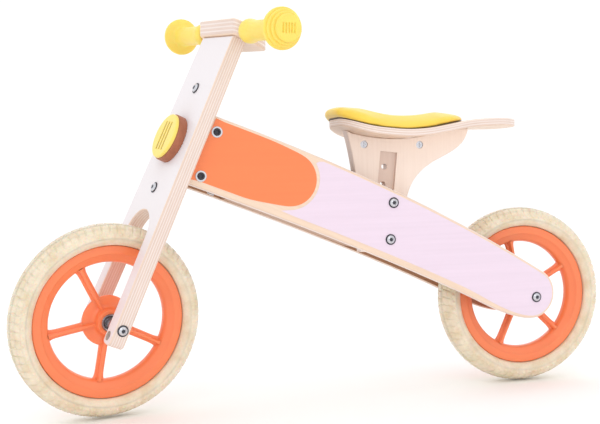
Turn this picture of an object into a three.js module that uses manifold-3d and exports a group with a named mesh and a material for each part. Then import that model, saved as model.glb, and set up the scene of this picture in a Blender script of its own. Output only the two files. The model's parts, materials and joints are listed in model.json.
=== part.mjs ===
// A wooden balance bike for a small child: two plywood side panels carry the rear wheel and the saddle,
// and a wide plywood fork, slotted for the front wheel, turns on a steel pin held between their front ends.
//
// Millimetres. +X forward, +Y to the rider's left, +Z up. The origin is on the ground, under the middle
// of the object's box. The handlebar is turned to the left, as the bike was left standing.

import * as THREE from 'three';
import { mergeVertices } from 'three/addons/utils/BufferGeometryUtils.js';
import Module from 'manifold-3d';

const wasm = await Module();
wasm.setup();

// ---------------------------------------------------------------- driving dimensions

const TYRE_RADIUS = 125;
const TYRE_HALF_WIDTH = 24;
const RIM_RADIUS = 98;
const RIM_HALF_WIDTH = 13.2;
const RIM_SEAT_RADIUS = 90;
const SPOKE_COUNT = 5;
const SPOKE_TURN_REAR = THREE.MathUtils.degToRad(7.4);
const SPOKE_TURN_FRONT = THREE.MathUtils.degToRad(39);

const WHEELBASE = 591.4;
const FRAME_HALF_WIDTH = 52;
const PANEL_THICKNESS = 12;
const PANEL_BEVEL = 2;

const STEERING_LEAN = THREE.MathUtils.degToRad(24.4);
const STEERING_REST = THREE.MathUtils.degToRad(14);
const STEERING_OFFSET = 66;
const FRONT_AXLE_HEIGHT = 126.1;

const FORK_THICKNESS = 19.4;
const FORK_TOP_HALF_WIDTH = 47.5;
const FORK_AXLE_HALF_WIDTH = 62;
const FORK_LEG_WIDTH = 24.6;
const FORK_LEG_DROP = 23;
const FORK_TOP = 391.7;
const SLOT_RADIUS = 34;
const SLOT_TOP = 148;

const HEAD_FRONT = 42.5;
const HEAD_TOP = 291;
const HEAD_BOTTOM = 197;
const HEAD_BOLTS = { upper: [32, 272.7], lower: [29.3, 213.1] };
const PIN_RADIUS = 5;
const KNUCKLE_RADIUS = 11;
const KNUCKLE_HEIGHT = 24;
const KNUCKLE_MIDDLE = 244;

const BOLT_RADIUS = 4;
const BOLT_HEAD_RADIUS = 6.6;
const BOLT_HEAD_HEIGHT = 3.4;
const HEX_KEY_RADIUS = 2.9;
const GAP = 0.3;

const SEAT_POST_THICKNESS = 18;
const SEAT_BOLTS = { upper: [210.5, 263.5], lower: [216, 214.5] };
const SEAT_BOARD_THICKNESS = 10;
const SEAT_HALF_WIDTH = 66;
const SEAT_REAR = 15;
const SEAT_FRONT = 274;
const CUSHION_REAR = 92;
const CUSHION_FRONT = 282;
const CUSHION_HALF_WIDTH = 63;

const PLATE_THICKNESS = 18;
const PLATE_HALF_LENGTH = 60;
const PLATE_FRONT = 13;
const PLATE_REAR = -38;
const PLATE_CORNER = 12;
const PLATE_SCREW_SPACING = 56;
const BAR_RADIUS = 7;
const BAR_HALF_LENGTH = 164;
const GRIP_FLANGE_RADIUS = 25.4;
const GRIP_NECK_RADIUS = 12.9;
const GRIP_END = 172;

const INNER_HALF_GAP = FRAME_HALF_WIDTH - PANEL_THICKNESS;
const HALF_TURN = Math.PI / 2;

// ---------------------------------------------------------------- materials

const finish = (color, roughness, metalness = 0) =>
  new THREE.MeshStandardMaterial({ color, roughness, metalness });

const materials = {
  panelPaint: finish('#fd9158', 0.5),
  forkPaint: finish('#f3f1f9', 0.5),
  birch: finish('#f4dcc6', 0.6),
  brownWood: finish('#b97350', 0.6),
  yellowPaint: finish('#fde46e', 0.45),
  rimPlastic: finish('#ff8e63', 0.4),
  tyreFoam: finish('#e3d0a6', 0.85),
  gripRubber: finish('#fee45a', 0.7),
  cushionCover: finish('#ffdd55', 0.7),
  brightSteel: finish('#d8d8dc', 0.3, 1),
  darkSteel: finish('#3c3b40', 0.4, 1),
  nylon: finish('#ebe9e4', 0.5),
};

// ---------------------------------------------------------------- solids

/** A closed three.js geometry as a solid that can be joined and cut. */
function solid(geometry) {
  const bare = geometry.index ? geometry : geometry.clone();
  bare.deleteAttribute('normal');
  bare.deleteAttribute('uv');
  const merged = mergeVertices(bare, 1e-4);
  const corners = merged.index.array;
  const kept = [];
  for (let i = 0; i < corners.length; i += 3) {
    const [a, b, c] = [corners[i], corners[i + 1], corners[i + 2]];
    if (a !== b && b !== c && c !== a) kept.push(a, b, c);
  }
  return new wasm.Manifold(new wasm.Mesh({
    numProp: 3,
    vertProperties: new Float32Array(merged.attributes.position.array),
    triVerts: new Uint32Array(kept),
  }));
}

/** A solid back as a three.js geometry with flat faces. */
function geometryOf(body) {
  const mesh = body.getMesh();
  const geometry = new THREE.BufferGeometry();
  geometry.setAttribute('position', new THREE.BufferAttribute(new Float32Array(mesh.vertProperties), 3));
  geometry.setIndex(new THREE.BufferAttribute(new Uint32Array(mesh.triVerts), 1));
  geometry.computeVertexNormals();
  return geometry;
}

/** The first solid with all the others cut out of it. */
const cut = (body, ...tools) => tools.reduce((left, tool) => left.subtract(tool), body);

/** All the solids joined in one. */
const join = (...bodies) => bodies.reduce((left, right) => left.add(right));

/** A round rod along Y, from y0 to y1, centred at x, z. */
function rodY(radius, y0, y1, x = 0, z = 0, sides = 12) {
  const geometry = new THREE.CylinderGeometry(radius, radius, Math.abs(y1 - y0), sides);
  return solid(geometry.translate(x, (y0 + y1) / 2, z));
}

/** A round rod along Z, from z0 to z1, centred at x, y. */
function rodZ(radius, z0, z1, x = 0, y = 0, sides = 12) {
  const geometry = new THREE.CylinderGeometry(radius, radius, Math.abs(z1 - z0), sides);
  return solid(geometry.rotateX(HALF_TURN).translate(x, y, (z0 + z1) / 2));
}

/** A round rod along X, from x0 to x1, centred at y, z. */
function rodX(radius, x0, x1, y = 0, z = 0, sides = 12) {
  const geometry = new THREE.CylinderGeometry(radius, radius, Math.abs(x1 - x0), sides);
  return solid(geometry.rotateZ(HALF_TURN).translate((x0 + x1) / 2, y, z));
}

/** A box between two opposite corners. */
function box([x0, y0, z0], [x1, y1, z1]) {
  const geometry = new THREE.BoxGeometry(x1 - x0, y1 - y0, z1 - z0);
  return solid(geometry.translate((x0 + x1) / 2, (y0 + y1) / 2, (z0 + z1) / 2));
}

/** A board whose outline is drawn in X and Z, filling y0 to y1, with bevelled edges. */
function boardXZ(outline, y0, y1, bevel = 0, curveSegments = 12) {
  const geometry = new THREE.ExtrudeGeometry(outline, {
    depth: y1 - y0 - 2 * bevel,
    bevelEnabled: bevel > 0,
    bevelThickness: bevel,
    bevelSize: bevel,
    bevelOffset: -bevel,
    bevelSegments: 1,
    curveSegments,
  });
  return solid(geometry.rotateX(HALF_TURN).translate(0, y1 - bevel, 0));
}

/** A body of revolution about Y from a profile of [radius, y] points, drawn bottom, outside, top. */
function turned(profile, sides) {
  const points = profile.map(([radius, y]) => new THREE.Vector2(radius, y));
  return solid(new THREE.LatheGeometry(points, sides));
}

/** A closed ring about Y: its section's [radius, y] points go round once, outside upwards. */
const ring = (section, sides) => turned([...section, section[0]], sides);

/** A washer-like sleeve about Y. */
function sleeve(inner, outer, y0, y1, sides = 14) {
  return ring([[inner, y0], [outer, y0], [outer, y1], [inner, y1]], sides);
}

const named = (name, body, material) => {
  const mesh = new THREE.Mesh(geometryOf(body), material);
  mesh.name = name;
  return mesh;
};

// ---------------------------------------------------------------- fasteners

/** A bolt along +Y: domed head with a hex socket standing out beyond y = 0, shank going to -length. */
function bolt(length, headRadius = BOLT_HEAD_RADIUS, shankRadius = BOLT_RADIUS) {
  const h = BOLT_HEAD_HEIGHT;
  const body = turned([
    [0, -length], [shankRadius, -length], [shankRadius, GAP], [headRadius, GAP],
    [headRadius, 0.45 * h], [0.7 * headRadius, h], [0, h],
  ], 12);
  return body.subtract(rodY(HEX_KEY_RADIUS, 0.35 * h, h + 1, 0, 0, 6));
}

/** The sleeve nut that meets such a bolt from the other side: the same head, on a hollow shank. */
function sleeveNut(length, headRadius = BOLT_HEAD_RADIUS, shankRadius = BOLT_RADIUS) {
  const bore = rodY(shankRadius - 1.5, -length - 1, -3, 0, 0, 8);
  return bolt(length, headRadius, shankRadius).subtract(bore);
}

/** A bolt from the left, and the sleeve nut from the right, that hold the frame together at x, z. */
function frameBolt(boltName, nutName, [x, z], material) {
  const thin = BOLT_RADIUS - 1.5 - GAP;
  const reach = 2 * FRAME_HALF_WIDTH - 14;
  const left = join(bolt(30), rodY(thin, -reach, -29, 0, 0, 8));
  const boltMesh = named(boltName, left, material);
  boltMesh.position.set(x, FRAME_HALF_WIDTH, z);
  const nutMesh = named(nutName, sleeveNut(60), material);
  nutMesh.position.set(x, -FRAME_HALF_WIDTH, z);
  nutMesh.rotation.z = Math.PI;
  return [boltMesh, nutMesh];
}

// ---------------------------------------------------------------- steering axis

const axisUp = new THREE.Vector2(-Math.sin(STEERING_LEAN), Math.cos(STEERING_LEAN));
const axisForward = new THREE.Vector2(Math.cos(STEERING_LEAN), Math.sin(STEERING_LEAN));
const axisFoot = new THREE.Vector2(WHEELBASE, FRONT_AXLE_HEIGHT).addScaledVector(axisForward, -STEERING_OFFSET);

/** The x, z of a point given ahead of the steering axis and along it, both in the steering's own frame. */
function fromAxis(ahead, along) {
  const point = axisFoot.clone().addScaledVector(axisForward, ahead).addScaledVector(axisUp, along);
  return [point.x, point.y];
}

/** A group whose Z is the steering axis and whose X points ahead of it. turn is about that axis. */
function axisGroup(turn) {
  const group = new THREE.Group();
  group.position.set(axisFoot.x, 0, axisFoot.y);
  group.rotation.set(0, -STEERING_LEAN, turn, 'YXZ');
  return group;
}

// ---------------------------------------------------------------- frame

const REAR_ARC = { x: 6.5, z: 130.5, radius: 34.8 };

/** The side panel: a long tapering board, bowed a little, with a round rear end. */
function panelOutline() {
  const shape = new THREE.Shape();
  shape.moveTo(...fromAxis(HEAD_FRONT, HEAD_BOTTOM));
  shape.lineTo(...fromAxis(HEAD_FRONT, HEAD_TOP));
  const arcStart = THREE.MathUtils.degToRad(122);
  const arcEnd = THREE.MathUtils.degToRad(272);
  const { x, z, radius } = REAR_ARC;
  shape.quadraticCurveTo(184, 282, x + radius * Math.cos(arcStart), z + radius * Math.sin(arcStart));
  shape.absarc(x, z, radius, arcStart, arcEnd, false);
  shape.quadraticCurveTo(34, 95.5, 84, 122.5);
  shape.quadraticCurveTo(228, 195.5, ...fromAxis(HEAD_FRONT, HEAD_BOTTOM));
  return shape;
}

function sidePanels() {
  const holes = [
    fromAxis(...HEAD_BOLTS.upper), fromAxis(...HEAD_BOLTS.lower),
    SEAT_BOLTS.upper, SEAT_BOLTS.lower, [0, TYRE_RADIUS],
  ];
  const drills = holes.map(([x, z]) => rodY(BOLT_RADIUS + GAP, -60, 60, x, z));
  const left = boardXZ(panelOutline(), INNER_HALF_GAP, FRAME_HALF_WIDTH, PANEL_BEVEL, 10);
  const right = boardXZ(panelOutline(), -FRAME_HALF_WIDTH, -INNER_HALF_GAP, PANEL_BEVEL, 10);
  return [
    named('side_panel_left', cut(left, ...drills), materials.panelPaint),
    named('side_panel_right', cut(right, ...drills), materials.panelPaint),
  ];
}

/** The two blocks between the panels that hold the steering pin, in the steering axis frame. */
function headBlocks() {
  const side = INNER_HALF_GAP - GAP;
  const clear = KNUCKLE_HEIGHT / 2 + 3.5;
  const spans = {
    upper: [KNUCKLE_MIDDLE + clear, HEAD_TOP - 4],
    lower: [HEAD_BOTTOM + 8, KNUCKLE_MIDDLE - clear],
  };
  return Object.entries(spans).map(([place, [low, high]]) => {
    const [boltX, boltZ] = HEAD_BOLTS[place];
    const body = cut(
      box([-20, -side, low], [HEAD_FRONT - 2, side, high]),
      rodZ(PIN_RADIUS + GAP, low - 1, high + 1),
      rodY(BOLT_RADIUS + GAP, -60, 60, boltX, boltZ),
    );
    return named(`head_block_${place}`, body, materials.birch);
  });
}

function steeringPin() {
  const top = HEAD_TOP - 4 + GAP;
  const bottom = HEAD_BOTTOM + 3;
  const body = join(rodZ(PIN_RADIUS, bottom, top + 1), rodZ(PIN_RADIUS + 4, top, top + 4));
  const groove = rodZ(PIN_RADIUS + 1, bottom + 2, bottom + 4)
    .subtract(rodZ(PIN_RADIUS - 1, bottom + 1, bottom + 5));
  const clip = rodZ(PIN_RADIUS + 3, bottom + 2 + GAP, bottom + 4 - GAP)
    .subtract(rodZ(PIN_RADIUS - 1 + GAP, bottom + 1, bottom + 5));
  return [
    named('steering_pin', body.subtract(groove), materials.brightSteel),
    named('steering_pin_ring', clip, materials.darkSteel),
  ];
}

/** The board that closes the underside between the panels, from the saddle to the head. */
function underSpacer() {
  const side = INNER_HALF_GAP - GAP;
  const shape = new THREE.Shape();
  const [frontX, frontZ] = fromAxis(-24, HEAD_BOTTOM + 6);
  shape.moveTo(252, 203);
  shape.quadraticCurveTo(344, 240.5, frontX, frontZ);
  shape.lineTo(...fromAxis(-24, HEAD_BOTTOM + 16));
  shape.quadraticCurveTo(340, 250, 248, 212);
  shape.closePath();
  return named('under_spacer', boardXZ(shape, -side, side, 0, 8), materials.birch);
}

// ---------------------------------------------------------------- saddle

/** The saddle board's underside, from its rear end to its front end: a shallow dip that curls up in front. */
const boardUnderside = new THREE.CatmullRomCurve3([
  [0, 363], [60, 364.5], [98, 362.5], [130, 357.2], [160, 352.4], [186, 350.8], [212, 352.2], [246, 357.6],
  [272, 367.8], [294, 379],
].map(([x, z]) => new THREE.Vector3(x, 0, z)));

const STATION = 18;

/** The height of the curve at x, by halving the curve's span. */
function curveHeight(x) {
  let low = 0;
  let high = 1;
  for (let step = 0; step < 30; step += 1) {
    const middle = (low + high) / 2;
    if (boardUnderside.getPoint(middle).x < x) low = middle;
    else high = middle;
  }
  return boardUnderside.getPoint(low).z;
}

/** The underside at x, in straight facets between stations, so that every piece shares the same facets. */
function undersideAt(x) {
  const before = STATION * Math.floor(x / STATION);
  const part = (x - before) / STATION;
  return curveHeight(before) * (1 - part) + curveHeight(before + STATION) * part;
}

/** The ends of a stretch and the stations inside it. */
function stations(rear, front) {
  const inside = [];
  for (let x = STATION * Math.ceil((rear + 1) / STATION); x < front - 1; x += STATION) inside.push(x);
  return [rear, ...inside, front];
}

/** The plan of the saddle as a rectangle with round ends, for cutting boards and pads to shape. */
function saddlePlan(rear, front, halfWidth, rearRadius, frontRadius) {
  const shape = new THREE.Shape();
  shape.moveTo(rear + rearRadius, -halfWidth);
  shape.lineTo(front - frontRadius, -halfWidth);
  shape.absarc(front - frontRadius, -halfWidth + frontRadius, frontRadius, -HALF_TURN, 0);
  shape.absarc(front - frontRadius, halfWidth - frontRadius, frontRadius, 0, HALF_TURN);
  shape.lineTo(rear + rearRadius, halfWidth);
  shape.absarc(rear + rearRadius, halfWidth - rearRadius, rearRadius, HALF_TURN, 2 * HALF_TURN);
  shape.absarc(rear + rearRadius, -halfWidth + rearRadius, rearRadius, 2 * HALF_TURN, 3 * HALF_TURN);
  return solid(new THREE.ExtrudeGeometry(shape, { depth: 120, bevelEnabled: false, curveSegments: 6 })
    .translate(0, 0, 320));
}

/** A slab that follows the underside, from lift above it to lift + thickness. */
function bentSlab(rear, front, halfWidth, lift, thickness) {
  const places = stations(rear, front);
  const lower = places.map((x) => new THREE.Vector2(x, undersideAt(x) + lift));
  const upper = places.map((x) => {
    const part = (x - rear) / (front - rear);
    return new THREE.Vector2(x, undersideAt(x) + lift + thickness(part));
  });
  return boardXZ(new THREE.Shape([...lower, ...upper.reverse()]), -halfWidth, halfWidth);
}

const SEAT_SCREWS = { front: 235, rear: 153 };
const SEAT_NUT_DROP = 12;

/** The upright plate under the saddle: wide at the top, drawn in to a stem that drops between the panels. */
function seatPost() {
  const half = SEAT_POST_THICKNESS / 2;
  const shape = new THREE.Shape();
  shape.moveTo(180, 196);
  shape.lineTo(177, 250);
  shape.bezierCurveTo(172, 286, 160, 306, 123, 322.5);
  shape.bezierCurveTo(96, 335, 85, 341, 79, 361);
  for (const x of stations(79, 260)) shape.lineTo(x, undersideAt(x) - GAP);
  shape.quadraticCurveTo(251, 330, 247, 290);
  shape.lineTo(243, 196);
  const stemLean = Math.atan2(SEAT_BOLTS.upper[0] - SEAT_BOLTS.lower[0], SEAT_BOLTS.upper[1] - SEAT_BOLTS.lower[1]);
  const channel = solid(new THREE.BoxGeometry(25, 5, 160).rotateY(stemLean)
    .translate(208, half - 1, 253));
  const holes = [];
  const pitch = (SEAT_BOLTS.upper[1] - SEAT_BOLTS.lower[1]) / 2;
  for (let i = 0; i < 5; i += 1) {
    const z = SEAT_BOLTS.lower[1] + i * pitch;
    const x = SEAT_BOLTS.lower[0] + i * (SEAT_BOLTS.upper[0] - SEAT_BOLTS.lower[0]) / 2;
    holes.push(rodY(BOLT_RADIUS + GAP, -60, 60, x, z, 10));
  }
  const wells = Object.values(SEAT_SCREWS).flatMap((x) => {
    const z = undersideAt(x) - SEAT_NUT_DROP;
    return [rodY(5 + GAP, -20, 20, x, z, 14), rodZ(3 + GAP, z - 9, z + 40, x, 0, 10)];
  });
  const body = cut(boardXZ(shape, -half, half, 1), channel, ...holes, ...wells);
  return named('seat_post', body, materials.birch);
}

/** The blocks that fill the space between the seat post and the panels. */
function seatClamps() {
  const inner = SEAT_POST_THICKNESS / 2 + GAP;
  const outer = INNER_HALF_GAP - GAP;
  const shape = new THREE.Shape();
  shape.moveTo(182, 196);
  shape.lineTo(240, 200);
  shape.lineTo(240, 280);
  shape.lineTo(182, 258);
  shape.closePath();
  return [['left', 1], ['right', -1]].map(([place, sign]) => {
    const drills = Object.values(SEAT_BOLTS).map(([x, z]) => rodY(BOLT_RADIUS + GAP, -60, 60, x, z));
    const body = boardXZ(shape, Math.min(sign * inner, sign * outer), Math.max(sign * inner, sign * outer), 1);
    return named(`seat_clamp_${place}`, cut(body, ...drills), materials.birch);
  });
}

function saddle() {
  const wells = Object.values(SEAT_SCREWS).map((x) => rodZ(3 + GAP, 300, 400, x, 0, 10));
  const sinks = Object.values(SEAT_SCREWS).map((x) => rodZ(7 + GAP, undersideAt(x) + 5, 420, x, 0, 14));
  const board = bentSlab(SEAT_REAR - 4, SEAT_FRONT + 4, SEAT_HALF_WIDTH + 4, 0, () => SEAT_BOARD_THICKNESS)
    .intersect(saddlePlan(SEAT_REAR, SEAT_FRONT, SEAT_HALF_WIDTH, 54, 52));
  const crown = (t) => 22 * Math.min(1, 0.5 + 1.6 * t, 0.7 + 3 * (1 - t));
  const lift = SEAT_BOARD_THICKNESS + GAP;
  const cushion = bentSlab(CUSHION_REAR, CUSHION_FRONT, CUSHION_HALF_WIDTH + 4, lift, crown)
    .intersect(saddlePlan(CUSHION_REAR, CUSHION_FRONT, CUSHION_HALF_WIDTH, 50, 50));
  return [
    named('seat_board', cut(board, ...wells, ...sinks), materials.birch),
    named('seat_cushion', cushion, materials.cushionCover),
  ];
}

/** The screws that come down through the board into cross-slot barrel nuts in the post. */
function seatScrews() {
  return Object.entries(SEAT_SCREWS).flatMap(([place, x]) => {
    const under = undersideAt(x);
    const nutZ = under - SEAT_NUT_DROP;
    const half = SEAT_POST_THICKNESS / 2 - 1.2;
    const slots = [
      box([x - 3.4, half - 1.5, nutZ - 0.6], [x + 3.4, half + 1, nutZ + 0.6]),
      box([x - 0.6, half - 1.5, nutZ - 3.4], [x + 0.6, half + 1, nutZ + 3.4]),
    ];
    const screw = join(
      rodZ(3, nutZ - 7, under + 6, x, 0, 10),
      rodZ(7, under + 5 + GAP, under + SEAT_BOARD_THICKNESS - 1, x, 0, 14),
    );
    const nut = cut(rodY(5, -half, half, x, nutZ, 14), rodZ(3 + GAP, nutZ - 10, nutZ + 10, x, 0, 10), ...slots);
    return [
      named(`seat_screw_${place}`, screw, materials.brightSteel),
      named(`seat_barrel_nut_${place}`, nut, materials.brightSteel),
    ];
  });
}

// ---------------------------------------------------------------- wheels

const HUB_HALF_WIDTH = 17;
const BEARING = { bore: 4, outer: 11, width: 7 };
const BEARING_OUTSIDE = HUB_HALF_WIDTH - 2;

/** The moulded rim: a channel for the tyre, a dished barrel, five ribbed spokes and a bossed hub. */
function rimBody(turn) {
  const w = RIM_HALF_WIDTH;
  const channel = ring([
    [75, -2.5], [87, -w], [RIM_RADIUS, -w], [RIM_RADIUS, -w + 2.8], [RIM_SEAT_RADIUS, -w + 4.2],
    [RIM_SEAT_RADIUS, w - 4.2], [RIM_RADIUS, w - 2.8], [RIM_RADIUS, w], [87, w], [75, 2.5],
  ], 42);
  const h = HUB_HALF_WIDTH;
  const hub = turned([[0, -h], [17, -h], [19, -4], [33, -3], [33, 3], [19, 4], [17, h], [0, h]], 20);
  const spokes = Array.from({ length: SPOKE_COUNT }, (_, i) => {
    const angle = turn + i * 2 * Math.PI / SPOKE_COUNT;
    const web = new THREE.BoxGeometry(52, 6, 17).translate(54, 0, 0).rotateY(-angle);
    const rib = new THREE.BoxGeometry(64, 15, 5).translate(48, 0, 0).rotateY(-angle);
    return join(solid(web), solid(rib));
  });
  const pocket = (sign) => rodY(BEARING.outer + GAP, sign * (BEARING_OUTSIDE - BEARING.width - GAP), sign * (h + 1),
    0, 0, 20);
  return cut(join(channel, hub, ...spokes), rodY(8, -h - 1, h + 1), pocket(1), pocket(-1));
}

/** The foam tyre: flat-crowned tread, round shoulders, and a tongue that sits in the rim's channel. */
function tyreBody() {
  const w = TYRE_HALF_WIDTH;
  const r = TYRE_RADIUS;
  const tongue = RIM_HALF_WIDTH - 4.2 - GAP;
  const side = [
    [RIM_SEAT_RADIUS + GAP, -tongue], [RIM_RADIUS + GAP, -RIM_HALF_WIDTH + 3.2], [RIM_RADIUS + GAP, -w + 6],
    [108, -w], [118, -w + 3], [r, -w + 14],
  ];
  const other = side.map(([radius, y]) => [radius, -y]).reverse();
  return ring([...side, ...other], 42);
}

function bearingBody(sign) {
  const inner = BEARING_OUTSIDE - BEARING.width;
  const [low, high] = sign > 0 ? [inner, BEARING_OUTSIDE] : [-BEARING_OUTSIDE, -inner];
  return sleeve(BEARING.bore + GAP, BEARING.outer, low, high, 20);
}

/** One wheel, its axle along Y and its middle at the group's origin. */
function wheel(place, turn) {
  const group = new THREE.Group();
  group.add(
    named(`${place}_rim`, rimBody(turn), materials.rimPlastic),
    named(`${place}_tyre`, tyreBody(), materials.tyreFoam),
    named(`${place}_bearing_left`, bearingBody(1), materials.brightSteel),
    named(`${place}_bearing_right`, bearingBody(-1), materials.brightSteel),
  );
  return group;
}

/** The axle: a bolt from the left, a sleeve nut from the right, and a spacer tube on each side of the hub. */
function axle(place, outerFace, innerFace) {
  const group = new THREE.Group();
  const nutLength = outerFace - BEARING_OUTSIDE - 3;
  const thin = BOLT_RADIUS - 1.5 - GAP;
  const boltBody = join(
    bolt(2 * outerFace - nutLength - 1),
    rodY(thin, -2 * outerFace + 8, -2 * outerFace + nutLength + 2, 0, 0, 8),
  );
  const boltMesh = named(`${place}_axle_bolt`, boltBody, materials.darkSteel);
  boltMesh.position.y = outerFace;
  const nutMesh = named(`${place}_axle_nut`, sleeveNut(nutLength), materials.darkSteel);
  nutMesh.position.y = -outerFace;
  nutMesh.rotation.z = Math.PI;
  const near = BEARING_OUTSIDE + GAP;
  const far = innerFace - GAP;
  group.add(
    boltMesh,
    nutMesh,
    named(`${place}_spacer_left`, sleeve(BOLT_RADIUS + GAP, 6.4, near, far), materials.brightSteel),
    named(`${place}_spacer_right`, sleeve(BOLT_RADIUS + GAP, 6.4, -far, -near), materials.brightSteel),
  );
  return group;
}

// ---------------------------------------------------------------- fork, in the steering axis frame

const FORK_REAR = STEERING_OFFSET - FORK_THICKNESS / 2;
const FORK_FRONT = STEERING_OFFSET + FORK_THICKNESS / 2;
const FORK_BOLTS = { upper: 318, lower: 179 };
const BADGE_HEIGHT = 245;
const LEG_HOLE_DROP = 12.5;
const LEG_HOLE_INSET = 14.8;

/** Half the fork's width at a height along it: it widens evenly from the top to the axle. */
function forkHalfWidth(along) {
  const top = 390;
  return FORK_AXLE_HALF_WIDTH + (FORK_TOP_HALF_WIDTH - FORK_AXLE_HALF_WIDTH) * along / top;
}

/** The fork's face: a tall taper with a deep arched slot for the wheel, drawn in Y and Z. */
function forkOutline() {
  const low = -FORK_LEG_DROP;
  const corner = 7;
  const outerLow = forkHalfWidth(low);
  const innerLow = outerLow - FORK_LEG_WIDTH;
  const archBase = SLOT_TOP - SLOT_RADIUS;
  const shape = new THREE.Shape();
  shape.moveTo(forkHalfWidth(FORK_TOP), FORK_TOP);
  shape.lineTo(-forkHalfWidth(FORK_TOP), FORK_TOP);
  shape.lineTo(-outerLow, low + corner);
  shape.quadraticCurveTo(-outerLow, low, -outerLow + corner, low);
  shape.lineTo(-innerLow - corner, low);
  shape.quadraticCurveTo(-innerLow, low, -innerLow, low + corner);
  shape.lineTo(-SLOT_RADIUS, archBase);
  shape.absarc(0, archBase, SLOT_RADIUS, Math.PI, 0, true);
  shape.lineTo(innerLow, low + corner);
  shape.quadraticCurveTo(innerLow, low, innerLow + corner, low);
  shape.lineTo(outerLow - corner, low);
  shape.quadraticCurveTo(outerLow, low, outerLow, low + corner);
  shape.closePath();
  return shape;
}

function forkPanel() {
  const bevel = 1.5;
  const geometry = new THREE.ExtrudeGeometry(forkOutline(), {
    depth: FORK_THICKNESS - 2 * bevel, bevelThickness: bevel, bevelSize: bevel, bevelOffset: -bevel,
    bevelSegments: 1, curveSegments: 10,
  });
  const upright = new THREE.Matrix4().makeBasis(
    new THREE.Vector3(0, 1, 0), new THREE.Vector3(0, 0, 1), new THREE.Vector3(1, 0, 0),
  );
  const board = solid(geometry.applyMatrix4(upright).translate(FORK_REAR + bevel, 0, 0));
  const faceHoles = Object.values(FORK_BOLTS).map((z) => rodX(BOLT_RADIUS + GAP, 0, 120, 0, z));
  const legHoles = [-1, 1].map((sign) => {
    const middle = sign * (forkHalfWidth(-LEG_HOLE_DROP) - LEG_HOLE_INSET);
    return rodX(6.4, FORK_FRONT - 9, FORK_FRONT + 5, middle, -LEG_HOLE_DROP);
  });
  const axleHole = rodY(BOLT_RADIUS + GAP, -100, 100, STEERING_OFFSET, 0);
  const body = cut(board, ...plateScrewHoles(), ...faceHoles, ...legHoles, axleHole);
  return named('fork_panel', body, materials.forkPaint);
}

/** The screw at the bottom of each leg hole. */
function legScrews() {
  return [['left', 1], ['right', -1]].map(([place, sign]) => {
    const middle = sign * (forkHalfWidth(-LEG_HOLE_DROP) - LEG_HOLE_INSET);
    const floor = FORK_FRONT - 9 + GAP;
    const body = rodX(5.4, floor, floor + 4, middle, -LEG_HOLE_DROP)
      .subtract(rodX(HEX_KEY_RADIUS, floor + 1.5, floor + 6, middle, -LEG_HOLE_DROP, 6));
    return named(`leg_screw_${place}`, body, materials.darkSteel);
  });
}

/** The hinge bracket: a plate on the fork's back with an arm and a knuckle that turns on the pin. */
function hingeBracket() {
  const plateFront = FORK_REAR - GAP;
  const plateBack = plateFront - 5;
  const low = KNUCKLE_MIDDLE - KNUCKLE_HEIGHT / 2;
  const high = KNUCKLE_MIDDLE + KNUCKLE_HEIGHT / 2;
  const bore = 7;
  const body = join(
    box([plateBack, -16, FORK_BOLTS.lower - 12], [plateFront, 16, FORK_BOLTS.upper + 12]),
    box([0, -7, low], [plateBack + 1, 7, high]),
    rodZ(KNUCKLE_RADIUS, low, high, 0, 0, 20),
  );
  const drills = Object.values(FORK_BOLTS).map((z) => rodX(BOLT_RADIUS + GAP, 0, 120, 0, z));
  return named('hinge_bracket', cut(body, rodZ(bore + GAP, low - 1, high + 1), ...drills), materials.darkSteel);
}

/** The flanged nylon bushes pressed into the knuckle from above and below. */
function steeringBushes() {
  const low = KNUCKLE_MIDDLE - KNUCKLE_HEIGHT / 2;
  const high = KNUCKLE_MIDDLE + KNUCKLE_HEIGHT / 2;
  const bush = (start, end, flangeStart, flangeEnd) => join(
    rodZ(7, Math.min(start, end), Math.max(start, end)),
    rodZ(10, Math.min(flangeStart, flangeEnd), Math.max(flangeStart, flangeEnd)),
  ).subtract(rodZ(PIN_RADIUS + GAP, low - 10, high + 10));
  return [
    named('steering_bush_upper', bush(high - 10, high + 1, high + GAP, high + 2.8), materials.nylon),
    named('steering_bush_lower', bush(low + 10, low - 1, low - GAP, low - 2.8), materials.nylon),
  ];
}

/** Fork bolts with their heads on the painted face and cap nuts behind the hinge plate. */
function forkBolts() {
  const back = FORK_REAR - GAP - 5;
  return Object.entries(FORK_BOLTS).flatMap(([place, z]) => {
    const length = FORK_FRONT - back + 3;
    const head = named(`fork_bolt_${place}`, bolt(length), materials.darkSteel);
    head.rotation.z = -HALF_TURN;
    head.position.set(FORK_FRONT, 0, z);
    const nutBody = cut(
      rodX(6.5, back - GAP - 5, back - GAP, 0, z, 6),
      rodX(BOLT_RADIUS + GAP, back - 4, back + 1, 0, z),
    );
    return [head, named(`fork_nut_${place}`, nutBody, materials.darkSteel)];
  });
}

/** The round badge: a wooden disc with a thin yellow cap whose face has three shallow grooves. */
function badge() {
  const group = new THREE.Group();
  group.position.set(FORK_FRONT + GAP, 0, BADGE_HEIGHT);
  group.rotation.z = -HALF_TURN;
  const disc = turned([[0, 0], [31.5, 0], [31.5, 10], [30.5, 11], [0, 11]], 32);
  const blank = turned([[0, 11.3], [31, 11.3], [31, 14], [29.5, 15.2], [0, 15.2]], 32);
  const grooves = [-8, 0, 8].map((x) => box([x - 1.6, 14.2, -17], [x + 1.6, 17, 17]));
  group.add(
    named('badge_disc', disc, materials.brownWood),
    named('badge_cap', cut(blank, ...grooves), materials.yellowPaint),
  );
  return group;
}

const PLATE_LOW = FORK_TOP + GAP;
const BAR_HEIGHT = PLATE_LOW + PLATE_THICKNESS / 2;
const PLATE_SCREW_FOOT = 352;

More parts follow.
